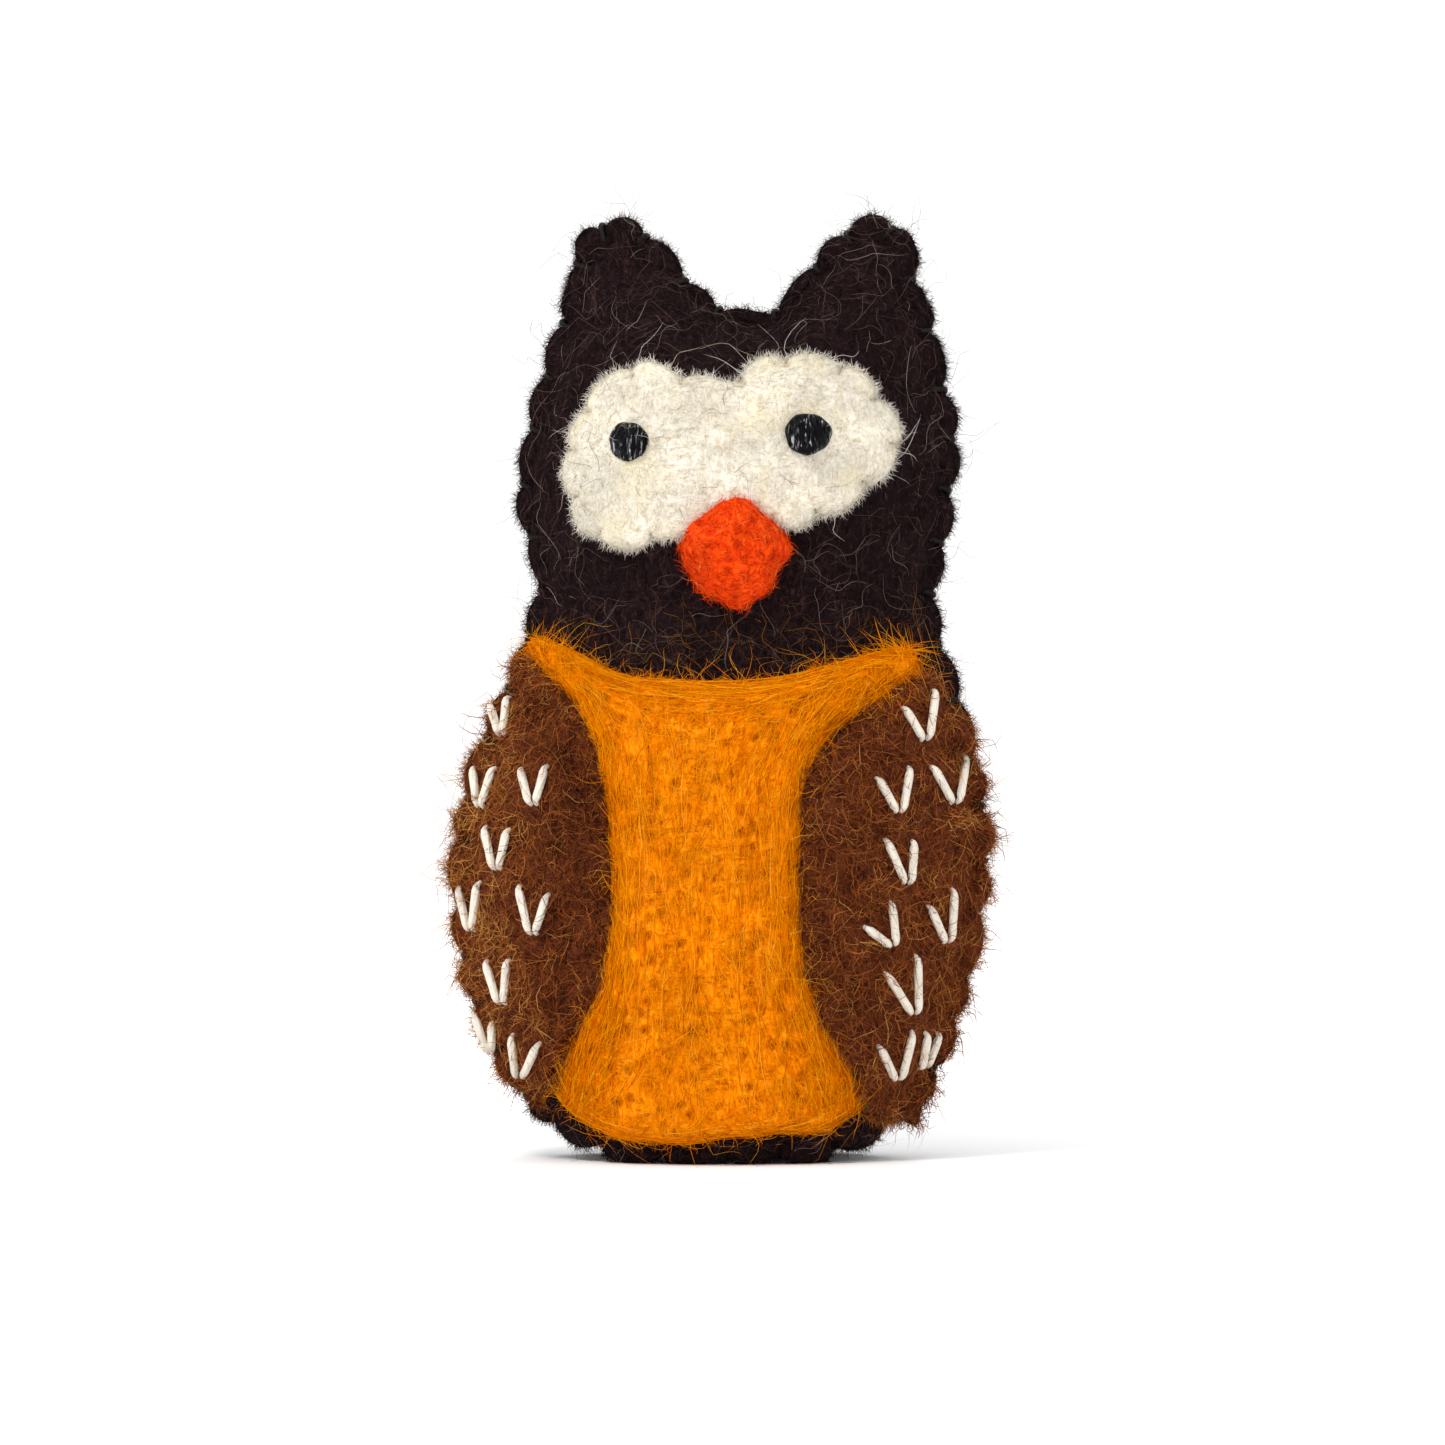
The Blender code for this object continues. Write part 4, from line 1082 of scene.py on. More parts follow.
def kept(name, make, *details, **more):
    """The material of this name, made once."""
    return bpy.data.materials.get(name) or make(name, *details, **more)


def dark_felt():
    c = colours()
    return kept("dark_wool_felt", felt_material, c.dark_felt, c.dark_deep, linear("#3B2827"), 0.05)


def brown_felt():
    c = colours()
    return kept("brown_wool_felt", felt_material, c.brown_felt, c.brown_deep, linear("#84471F"), 0.06)


def cream_felt():
    c = colours()
    return kept(
        "cream_wool_felt", felt_material, c.cream_felt, c.cream_deep, linear("#F3EDE0"), 0.2,
        patch=linear("#E9DCB4"),
    )


def bib_felt():
    c = colours()
    light = linear("#FFB020")
    return kept("yellow_orange_needled_wool", felt_material, c.bib_wool, c.bib_deep, light, 0.06)


def beak_felt():
    c = colours()
    light = linear("#FF6A1C")
    return kept("orange_red_needled_wool", felt_material, c.beak_wool, c.beak_deep, light, 0.08)


def dark_wool():
    stops = [
        (0.0, linear("#080405")), (0.35, linear("#1A0F11")), (0.6, linear("#30201F")),
        (0.82, linear("#523834")), (0.95, linear("#735850")), (1.0, linear("#988479")),
    ]
    return kept("dark_wool_fibre", wool_material, stops)


def brown_wool():
    stops = [
        (0.0, linear("#1A0A06")), (0.22, linear("#4A2010")), (0.42, linear("#7C3C1C")),
        (0.65, linear("#A25728")), (0.85, linear("#BC7231")), (1.0, linear("#D29850")),
    ]
    return kept("brown_wool_fibre", wool_material, stops)


def cream_wool():
    stops = shades("#C8BA96", "#E8E0CF", "#EFE8DA", "#F7F2E8")
    return kept("cream_wool_fibre", wool_material, stops, 0.1, 0.75)


def bib_wool():
    stops = shades("#B25600", "#F58200", "#FF9A00", "#FFAA08", "#FFC23C")
    return kept("yellow_orange_wool_fibre", wool_material, stops, 0.0, 0.82)


def beak_wool():
    stops = shades("#8E1200", "#E63A04", "#FA520A", "#FF7E30", "#FFA060")
    return kept("orange_red_wool_fibre", wool_material, stops, 0.0, 0.8)


def golden_wool():
    stops = shades("#40260C", "#6E4712", "#A06C1A", "#CE9230")
    return kept("golden_wool_fibre", wool_material, stops)


def mask_hair():
    stops = shades("#FFFFFF", "#EFE7D8", "#CDBFA6", "#8D7A66", "#4A3A32")
    return kept("mask_mixed_fibre", wool_material, stops)


def loose_wool():
    stops = [
        (0.0, linear("#3A2725")), (0.3, linear("#5A433C")), (0.6, linear("#7D6A60")),
        (0.85, linear("#A89C92")), (1.0, linear("#D9D2CA")),
    ]
    return kept("loose_mixed_fibre", wool_material, stops)


# ---------------------------------------------------------------- operators


class Puppet:
    """What every step shares: it can be undone, and it raises when it can't finish."""

    bl_options = {"REGISTER", "UNDO"}

    def execute(self, context):
        self.make()
        return {"FINISHED"}


def ride_neck(piece):
    """Bakes a piece's transform into its points and leaves it on no body."""
    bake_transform(piece)


class PUPPET_OT_panels(Puppet, bpy.types.Operator):
    """The front and back felt panels, from the hem to the ears"""

    bl_idname = "puppet.panels"
    bl_label = "Felt panels"

    def make(self):
        for name, side in (("front", -1), ("back", 1)):
            grid = sheet_grid(panel_spec(side))
            piece = sheet_piece(f"{name}_panel", grid, dark_felt())
            ride_neck(piece)
            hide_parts(f"torso_{name}", f"neck_{name}", f"head_{name}")


class PUPPET_OT_wings(Puppet, bpy.types.Operator):
    """The two brown felt wings, sewn into the side seams"""

    bl_idname = "puppet.wings"
    bl_label = "Felt wings"

    def make(self):
        for side in ("left", "right"):
            grid = sheet_grid(wing_spec(side))
            piece = sheet_piece(f"{side}_wing", grid, brown_felt())
            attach(piece, "torso")
            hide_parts(f"wing_{side}")


class PUPPET_OT_bib(Puppet, bpy.types.Operator):
    """The needled bib with its two shoulder straps"""

    bl_idname = "puppet.bib"
    bl_label = "Bib"

    def make(self):
        piece = sheet_piece("wool_bib", bib_grid(), bib_felt())
        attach(piece, "torso")
        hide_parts("bib")


class PUPPET_OT_mask(Puppet, bpy.types.Operator):
    """The cream felt mask"""

    bl_idname = "puppet.mask"
    bl_label = "Mask"

    def make(self):
        grid = sheet_grid(mask_spec())
        piece = sheet_piece("cream_mask", grid, cream_felt())
        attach(piece, "head")
        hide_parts("face_mask")


def dome_points(at, reach, base, proud, rows, columns, power=1.0):
    """A dome on the front: a sphere's rings, spread to an outline by angle and laid over the panel.
    Returns points, and the angle and height share of each."""
    height = np.linspace(-0.5, 0.5, rows + 2)[1:-1, None] * math.pi
    angle = np.linspace(0, 2 * math.pi, columns, endpoint=False)[None, :]
    out_x, out_z = reach(angle)
    ring = np.cos(height)
    x = across(at[0]) + ring * out_x
    z = up(at[1]) + ring * out_z
    rise = np.clip(np.sin(height), 0, 1) ** power * np.ones_like(angle)
    depth = fullness(x, z) + base + proud * rise
    return np.stack([x, -depth, z], axis=-1), angle, rise


class PUPPET_OT_eyes(Puppet, bpy.types.Operator):
    """The two eyes, wound in black thread"""

    bl_idname = "puppet.eyes"
    bl_label = "Eyes"

    def make(self):
        base = sizes().panel_felt + sizes().mask_felt
        for side, (x, z, wide, tall) in EYES.items():
            lean = 0.5 if side == "left" else -0.35
            def reach(angle):
                uneven = MM / 2 * (1 + 0.03 * np.sin(3 * angle + 1) + 0.02 * np.sin(7 * angle))
                return wide * uneven * np.cos(angle), tall * uneven * np.sin(angle)

            points, angle, rise = dome_points((x, z), reach, base, sizes().eye_proud, 44, 72, 0.85)
            dx, dz = points[..., 0] - across(x), points[..., 2] - up(z)
            over = dx * math.cos(lean) - dz * math.sin(lean)
            strand = np.abs(np.cos(math.pi * over / (0.42 * MM)))
            points[..., 1] -= 0.15 * MM * strand * step_up(0, 0.25, rise)
            points[..., 1] -= 0.1 * MM * waves(dx, dz, 1.6 * MM, 61) * rise
            piece = closed_dome(f"{side}_eye", points, eye_material())
            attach(piece, "head")
            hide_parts(f"eye_{side}")


def eye_material():
    return kept("black_wound_thread", wound_thread)


def wound_thread(name):
    """Black mercerised thread wound many times over the same place: nearly black, with painted
    highlights: thin pale lines in the colour where a strand's round back would catch the light.
    Lines are drawn 0.15 mm wide."""
    material, tree, shader = new_material(name)
    flat = millimetres(tree)
    place = node(tree, "ShaderNodeMapping", None, Vector=flat, Rotation=(0, 0.5, 0), Scale=(2.6, 1, 0.35))
    lines = noise(tree, place.outputs[0], 1.5, 3.0, 0.6, 0.4)
    patches = noise(tree, flat, 0.7, 1.0)
    deep, shade = linear("#010102"), colours().eye_thread
    # Painted highlights: the two pale colours stand for light caught on the strands.
    painted_glint, painted_highlight = linear("#4A4A50"), linear("#C0C0C8")
    tone = ramp(tree, lines, [(0.46, deep), (0.54, shade), (0.6, painted_glint), (0.69, painted_highlight)])
    where = ramp(tree, patches, [(0.38, (0, 0, 0)), (0.52, (1, 1, 1))])
    tree.links.new(mix(tree, where, shade, tone), shader.inputs["Base Color"])
    bump = node(tree, "ShaderNodeBump", None, Height=lines, Strength=0.6, Distance=0.15 * MM)
    tree.links.new(bump.outputs[0], shader.inputs["Normal"])
    shader.inputs["Roughness"].default_value = 0.4
    shader.inputs["Specular IOR Level"].default_value = 0.07
    return material


def beak_reach(angle):
    """A rounded diamond: the powers 1.5 of the two ways across it add up to one. Two sines of the
    angle make its outline uneven."""
    c, s = np.cos(angle), np.sin(angle)
    uneven = 1 + 0.03 * np.sin(5 * angle + 0.8) + 0.02 * np.sin(9 * angle + 2.6)
    tall = np.where(s > 0, up(BEAK_UP), up(BEAK_DOWN))
    far = (np.abs(c / across(BEAK_HALF_WIDE)) ** 1.5 + np.abs(s / tall) ** 1.5) ** (-1 / 1.5)
    return far * uneven * c, far * uneven * s


def beak_surface():
    base = sizes().panel_felt
    points, _, rise = dome_points(BEAK_AT, beak_reach, base, sizes().beak_proud, 60, 96, 0.75)
    x, z = points[..., 0], points[..., 2]
    ring = np.stack([x.ravel()[::7], z.ravel()[::7]], axis=1)
    pits = needle_pits(x, z, ring, 1.35 * MM, 0.36 * MM, 71) * step_up(0.1, 0.4, rise)
    points[..., 1] += 0.5 * MM * pits - 0.46 * MM * waves(x, z, 3.0 * MM, 72) * rise
    return points, pits


class PUPPET_OT_beak(Puppet, bpy.types.Operator):
    """The needled beak"""

    bl_idname = "puppet.beak"
    bl_label = "Beak"

    def make(self):
        points, pits = beak_surface()
        piece = closed_dome("wool_beak", points, beak_felt(), pits)
        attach(piece, "head")
        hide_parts("beak")


class PUPPET_OT_stuffing(Puppet, bpy.types.Operator):
    """The ball of wool in the head"""

    bl_idname = "puppet.stuffing"
    bl_label = "Stuffing"

    def make(self):
        height = np.linspace(-0.5, 0.5, 50)[1:-1, None] * math.pi
        angle = np.linspace(0, 2 * math.pi, 90, endpoint=False)[None, :]
        a = np.cos(height) * np.cos(angle)
        b = np.cos(height) * np.sin(angle)
        x = across(STUFFING_AT[0] + STUFFING_HALF[0] * a)
        z = up(STUFFING_AT[1] + STUFFING_HALF[1] * np.sin(height) * np.ones_like(angle))
        deep = fullness(x, z) - 1.1 * MM + 0.4 * MM * waves(x, z, 3 * MM, 81)
        y = deep * np.sign(b) * np.abs(b) ** 0.8
        piece = closed_dome("wool_stuffing", np.stack([x, y, z], axis=-1), stuffing_material())
        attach(piece, "head")
        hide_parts("head_stuffing")


def stuffing_material():
    c = colours()
    deep, light = linear("#BDB29C"), linear("#FFFFFF")
    return kept("carded_stuffing_wool", felt_material, c.stuffing, deep, light, 0.1)


class PUPPET_OT_feathers(Puppet, bpy.types.Operator):
    """The V-shaped feather stitches on the wings"""

    bl_idname = "puppet.feathers"
    bl_label = "Feather stitches"

    def make(self):
        for side, stitches in FEATHERS.items():
            grid = sheet_grid(wing_spec(side))
            for number, (ax, az, bx, bz, cx, cz) in enumerate(stitches, start=1):
                legs = []
                for (tx, tz), shift in (((ax, az), -0.22), ((cx, cz), 0.22)):
                    legs.append(self.leg(grid, (tx, tz), (bx + shift, bz)))
                piece = self.strands(f"{side}_feather_{number}", np.array(legs))
                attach(piece, "torso")
                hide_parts(f"feather_stitch_{side}_{number}")

    def leg(self, grid, top, point):
        """A straight stitch that dips into the felt at both ends, as a half sine with flat ends."""
        f = np.linspace(0, 1, 26)
        x = across(top[0]) + across(point[0] - top[0]) * f
        z = up(top[1]) + up(point[1] - top[1]) * f
        normals, surface = surface_under(grid, x, z)
        normal = unit(normals.mean(axis=0))
        sunk = 1 - np.minimum(1, np.sin(math.pi * f) * 2.6)
        height = sizes().feather_thread * (0.5 - 1.45 * sunk**2)
        return surface + normal * height[:, None]

    def strands(self, name, paths):
        """Stranded cotton: the radius swells once for each of six strands, which turn slowly."""
        f = np.linspace(0, 1, paths.shape[1])
        radii = sizes().feather_thread / 2 * (0.4 + 0.6 * np.minimum(1, np.sin(math.pi * f) * 1.7))
        radii = np.repeat(radii[None], len(paths), axis=0)

        def plies(angle, station):
            turned = angle[None, None, :] * 3 - station[None, :, None] * 0.2
            return 0.9 + 0.14 * np.abs(np.cos(turned))

        return tubes(name, paths, radii, feather_material(), sides=30, shape=plies)


def feather_material():
    shade = colours().feather_thread
    return kept("cream_stranded_cotton", thread_material, shade, linear("#D8CFBF"), 0.6, 2.2)


def surface_under(grid, x, z):
    """The outer face of a sheet straight before each (x, z): that of the nearest grid point, moved
    along its tangent plane. Returns (normals, points)."""
    gx, gz = grid["outer"][..., 0].ravel(), grid["outer"][..., 2].ravel()
    i = ((x[:, None] - gx) ** 2 + (z[:, None] - gz) ** 2).argmin(axis=1)
    normal = grid["normal"].reshape(-1, 3)[i]
    near = grid["outer"].reshape(-1, 3)[i]
    dy = -((x - near[:, 0]) * normal[:, 0] + (z - near[:, 2]) * normal[:, 2]) / normal[:, 1]
    y = near[:, 1] + np.clip(dy, -0.5 * MM, 0.5 * MM)
    for _ in range(4):
        y[1:-1] = np.convolve(y, [0.25, 0.5, 0.25], mode="valid")
    return normal, np.stack([x, y, z], axis=1)


class PUPPET_OT_seams(Puppet, bpy.types.Operator):
    """The dark overcast stitches over the edges"""

    bl_idname = "puppet.seams"
    bl_label = "Overcast stitches"

    def make(self):
        stitches = seam_stitches()
        paths = []
        for spot, way, inward in zip(*(stitches[k] for k in ("at", "way", "in"))):
            winged = spot[1] < up(WING_TOPS["left" if spot[0] < 0 else "right"]) and spot[1] > up(7)
            paths.append(self.over_edge(spot, way, inward, winged))
        paths = np.array(paths)
        radii = np.full(paths.shape[:2], sizes().seam_thread / 2)
        piece = tubes("overcast_thread", paths, radii, seam_material(), sides=8)
        ride_neck(piece)
        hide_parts("seam_thread_left", "seam_thread_right", "seam_thread_head")

    def over_edge(self, spot, way, inward, winged):
        """A loop from the front face over the edge to the back face: half of a rounded oblong."""
        f = np.linspace(-1, 1, 23)
        bite = sizes().seam_bite
        felt = sizes().panel_felt
        extra = sizes().wing_felt + 0.1 * MM if winged else 0.0
        notch = sizes().scallop - 0.5 * MM
        thick = np.where(f < 0, felt + extra, felt) - 0.32 * MM
        turn = np.clip(np.abs(f) / 0.4, 0, 1)
        inset = np.where(np.abs(f) < 0.4, notch * 0.6 - 0.25 * MM * np.cos(turn * math.pi / 2), 0)
        run = np.clip((np.abs(f) - 0.4) / 0.6, 0, 1)
        inset = inset + np.where(np.abs(f) >= 0.4, notch * 0.6 + (bite - notch * 0.6) * run, 0)
        x = spot[0] + inward[0] * inset + way[0] * 0.5 * MM * f
        z = spot[1] + inward[1] * inset + way[1] * 0.5 * MM * f
        base = np.where(np.abs(f) < 0.4, np.sin(turn * math.pi / 2), 1.0) * thick
        depth = base + fullness(x, z) * np.clip(turn, 0, 1) - 0.9 * MM * step_up(0.82, 1.0, np.abs(f))
        return np.stack([x, np.sign(f) * depth, z], axis=1)


def seam_material():
    deep = linear("#0D0809")
    return kept("dark_sewing_thread", thread_material, colours().seam_thread, deep, 0.7, 3.5)


def look_of(length, stations, rise, curl, thick=1.0, turns=1.0, hug=0.8, arc=0.15):
    """How a set of fibres stands: its length, its stations, how it rises in degrees, how far it
    waves and curves as shares of its length, and how closely it keeps to the surface."""
    return {
        "length": length, "stations": stations, "rise": rise, "curl": curl, "turns": turns,
        "thick": thick * sizes().fibre, "hug": hug, "radius": 13 * MM, "arc": arc,
    }


def covered_front(grid):
    """Cells of the front panel that a wing, the bib, the mask or the beak hides."""
    x, z = cell_values(grid["x"]), cell_values(grid["z"])
    hidden = np.zeros(x.shape, bool)
    for edges in (wing_edges("left"), wing_edges("right"), bib_edges(), mask_edges()):
        hidden |= inside(x, z, ring_of(edges, 60))
    return hidden


def nap(
    name, grid, body, slot, density, look, material, mean, spread, weight=None, tilt=0.0, seed=0,
    swirl=1.2, flow=None, patchy=0.12,
):
    """A short nap all over a sheet's outer face. flow gives each cell's share of lying across the
    sheet instead of up it."""
    rng = np.random.default_rng(sizes().seed * 1000 + seed)
    outer = grid["outer"]
    ds = outer[:-1, 1:] - outer[:-1, :-1]
    dt = outer[1:, :-1] - outer[:-1, :-1]
    area = np.linalg.norm(np.cross(ds, dt), axis=-1)
    if weight is not None:
        area = area * weight
    count = int(area.sum() / MM**2 * density)
    spot, normal, ups, cell = scatter(grid, count, rng, weight)
    if flow is not None:
        rows = unit(ds[cell])
        share = flow[cell][:, None]
        ups = unit((1 - share) * ups + share * rows * np.sign(rng.random((count, 1)) - 0.5))
    ways = ways_at(ups, normal, rng, mean, spread)
    turn = swirl * waves(spot[:, 0], spot[:, 2], 6 * MM, seed + 5)
    side = unit(np.cross(normal, ways))
    ways = unit(ways * np.cos(turn)[:, None] + side * np.sin(turn)[:, None])
    lean = tilt(spot) if callable(tilt) else tilt
    cloud = patchy * waves(spot[:, 0], spot[:, 2], 3.2 * MM, seed)
    tint = np.clip(rng.beta(2.0, 3.0, count) + lean + cloud, 0, 1)
    piece = fibres(name, spot, normal, ways, look, tint, rng, material)
    if body:
        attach(piece, body)
    else:
        ride_neck(piece)
    return piece


def rim_fuzz(name, grid, body, per_mm, look, material, spread=38, tilt=0.0, seed=0, keep=None):
    """Fibres that stand out all round a sheet's rim, along the outline's outward way."""
    rng = np.random.default_rng(sizes().seed * 500 + seed)
    ring = np.concatenate([
        grid["outer"][0, :-1], grid["outer"][:-1, -1], grid["outer"][-1, :0:-1], grid["outer"][:0:-1, 0]
    ])
    after = np.roll(ring, -1, axis=0)
    length = np.linalg.norm(after - ring, axis=1)
    if keep is not None:
        length = length * keep(ring)
    count = int(length.sum() / MM * per_mm)
    pick = rng.choice(len(ring), count, p=length / length.sum())
    f = rng.random((count, 1))
    spot = ring[pick] * (1 - f) + after[pick] * f
    way = unit(np.roll(ring, -3, axis=0) - np.roll(ring, 3, axis=0))[pick]
    out = unit(np.stack([way[:, 2], np.zeros(count), -way[:, 0]], axis=1))
    front = np.array([[0.0, grid["side"], 0.0]])
    roll = rng.uniform(-0.2, 1.2, (count, 1))
    normal = unit(out * np.cos(roll) + front * np.sin(roll))
    spot = spot + (front * np.sin(roll) * 0.3 - out * 0.25) * MM
    turn = np.radians(rng.normal(0, spread, count))[:, None]
    ways = unit(normal * np.cos(turn) + way * np.sin(turn))
    up_way = unit(np.cross(ways, way) + 1e-6)
    tint = np.clip(rng.beta(2.0, 2.6, count) + tilt, 0, 1)
    piece = fibres(name, spot, up_way, ways, look, tint, rng, material)
    if body:
        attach(piece, body)
    else:
        ride_neck(piece)


def off_stitches(side, x, z):
    """One away from a wing's feather stitches, and zero by a leg: the smooth step of the distance
    to the nearest leg."""
    nearest = np.full(x.shape, np.inf)
    for ax, az, bx, bz, cx, cz in FEATHERS[side]:
        for tx, tz in ((ax, az), (cx, cz)):
            start_x, start_z = across(tx), up(tz)
            run_x, run_z = across(bx - tx), up(bz - tz)
            share = ((x - start_x) * run_x + (z - start_z) * run_z) / (run_x**2 + run_z**2)
            share = np.clip(share, 0, 1)
            far = np.hypot(x - start_x - share * run_x, z - start_z - share * run_z)
            nearest = np.minimum(nearest, far)
    return step_up(0.35 * MM, 0.9 * MM, nearest)


class PUPPET_OT_nap(Puppet, bpy.types.Operator):
    """The short wool nap of the felts, the bib and the beak"""

    bl_idname = "puppet.nap"
    bl_label = "Nap"

    def make(self):
        s = sizes()
        thin = 1.0
        dense = s.nap_per_mm2 * thin
        short = look_of(s.nap, 2, (8, 45), 0.10)
        rim_hair = look_of(0.95 * s.nap, 3, (-12, 12), 0.14, 0.75, hug=0)
        for name, side, density in (("front", -1, dense), ("back", 1, 0.42 * dense)):
            grid = sheet_grid(panel_spec(side))
            weight = 1 + 1.2 * np.exp(-((cell_values(grid["edge"]) / (1.2 * MM)) ** 2))
            if side < 0:
                weight = weight * np.where(covered_front(grid), 0.0, 1.0)
            nap(f"{name}_nap", grid, None, "dark_brown_felt", density, short, dark_wool(), 180, 38,
                weight, tilt=-0.05, seed=2 + side, swirl=0.9)
            rim_fuzz(f"{name}_rim_fuzz", grid, None, 15 * thin, rim_hair,
                     dark_wool(), tilt=0.12, seed=2 + side)
        self.wing_nap(dense, thin)
        self.mask_nap(dense, thin)
        self.bib_nap(dense)
        points, pits = beak_surface()
        half = points.shape[0] // 2
        beak = {"outer": points[half - 3 :], "side": -1}
        away = 1 - 0.85 * cell_values(pits[half - 3 :])
        nap("beak_nap", beak, "head", "orange_red_wool", 1.3 * dense,
            look_of(1.1 * s.nap, 4, (6, 38), 0.22, 0.9, arc=0.5), beak_wool(), 0, 90, away, seed=8)

    def wing_nap(self, dense, thin):
        """Coarse curly wool, darker by the bib and golden towards the rim."""
        nap_length = sizes().nap
        curly = look_of(2.4 * nap_length, 4, (4, 42), 0.19, 1.3, 1.3, arc=0.6)
        rim_hair = look_of(1.15 * nap_length, 4, (-15, 15), 0.17, 0.9, 1.2, 0, 0.4)

        def golden_left(spot):
            return -0.06 + 0.5 * step_up(across(12), across(25), -spot[:, 0])

        def golden_right(spot):
            return 0.08 + 0.1 * step_up(across(18), across(25), spot[:, 0])

        tilts = {"left": golden_left, "right": golden_right}
        for seed, (side, golden) in enumerate(tilts.items(), start=3):
            grid = sheet_grid(wing_spec(side))
            away = 1 - 0.95 * np.clip(cell_values(grid["groove"]), 0, 1)
            away = away * off_stitches(side, cell_values(grid["x"]), cell_values(grid["z"]))
            nap(f"{side}_wing_nap", grid, "torso", "mid_brown_felt", 1.05 * dense, curly,
                brown_wool(), 180, 60, away, tilt=golden, seed=seed, patchy=0.24)
            rim_fuzz(f"{side}_wing_rim_fuzz", grid, "torso", 19 * thin,
                     rim_hair, brown_wool(), tilt=0.25, seed=seed)

    def mask_nap(self, dense, thin):
        nap_length = sizes().nap
        mask = sheet_grid(mask_spec())
        rim = 1 + np.exp(-((cell_values(mask["edge"]) / (0.9 * MM)) ** 2))
        nap("mask_nap", mask, "head", "cream_felt", 1.3 * dense,
            look_of(0.9 * nap_length, 3, (5, 38), 0.12, 0.8), cream_wool(), 180, 80, rim,
            tilt=0.15, seed=5)
        rim_fuzz("mask_rim_fuzz", mask, "head", 26 * thin,
                 look_of(0.95 * nap_length, 3, (-5, 20), 0.12, 0.8, hug=0), cream_wool(), 24, 0.2, 5)

    def bib_nap(self, dense):
        """Wool combed up the bib and along its straps, and a curly nap between the needle pits."""
        nap_length = sizes().nap
        bib = bib_grid()
        rows = np.linspace(0, 1, bib["x"].shape[0] - 1)[:, None] * np.ones((1, bib["x"].shape[1] - 1))
        flow = step_up(0.74, 0.95, rows) + 0.8 * step_up(0.08, 0.0, rows)
        away = 1 - 0.85 * np.clip(cell_values(bib["groove"]), 0, 1)
        near_edge = 1 + 0.8 * np.exp(-((cell_values(bib["edge"]) / (2.5 * MM)) ** 2))
        nap("bib_combed_wool", bib, "torso", "yellow_orange_wool", 0.34 * dense,
            look_of(4.4 * nap_length, 5, (1, 9), 0.05, 0.9, hug=1.15, arc=0.12), bib_wool(), 0, 14,
            away * near_edge, tilt=0.1, seed=6, swirl=0.25, flow=flow)
        self.bib_strands(bib, dense / sizes().nap_per_mm2)

        def at_sides(ring):
            return np.where(ring[:, 2] < up(6.5), 0.15, np.where(ring[:, 2] > up(44), 0.45, 1.0))

        rim_fuzz("bib_rim_fuzz", bib, "torso", 9 * dense / sizes().nap_per_mm2,
                 look_of(2.0 * nap_length, 5, (-4, 14), 0.12, 0.7, 1.2, 0.3, 0.5), bib_wool(), 50, 0.0, 9,
                 at_sides)
        nap("bib_nap", bib, "torso", "yellow_orange_wool", 0.6 * dense,
            look_of(1.6 * nap_length, 3, (4, 35), 0.16, 0.85, arc=0.45), bib_wool(), 0, 55, away,
            tilt=0.02, seed=7, swirl=0.8, flow=flow, patchy=0.2)

    def bib_strands(self, bib, share):
        """Long carded wool: up both sides and along the straps and the lower edge, with single
        strands all over."""
        rng = np.random.default_rng(sizes().seed * 31)
        strand = {
            "length": 13 * MM, "stations": 10, "curl": 0.03, "turns": 1.1, "arc": 0.1,
            "thick": 1.1 * sizes().fibre, "lift": (0.03 * MM, 0.34 * MM),
            "sheet": (20 * MM, 42 * MM),
        }

        def by_sides(s, t):
            return np.exp(-((np.minimum(s, 1 - s) / 0.16) ** 2)) + 0.12

        def by_top(s, t):
            return np.exp(-(((1 - t) / 0.09) ** 2)) + 0.3 * np.exp(-((t / 0.05) ** 2))

        def mixed(start, rng):
            orange = 0.3 * np.exp(-((np.minimum(start[:, 0], 1 - start[:, 0]) / 0.12) ** 2))
            return 0.9 * rng.beta(1.1, 1.3, len(start)) + 0.06 - orange

        for name, count, across_sheet, keep in (
            ("bib_side_strands", 1700, False, by_sides), ("bib_top_strands", 650, True, by_top),
        ):
            piece = combed(
                name, bib, int(count * share), strand, across_sheet, keep, mixed, rng, bib_wool()
            )
            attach(piece, "torso")


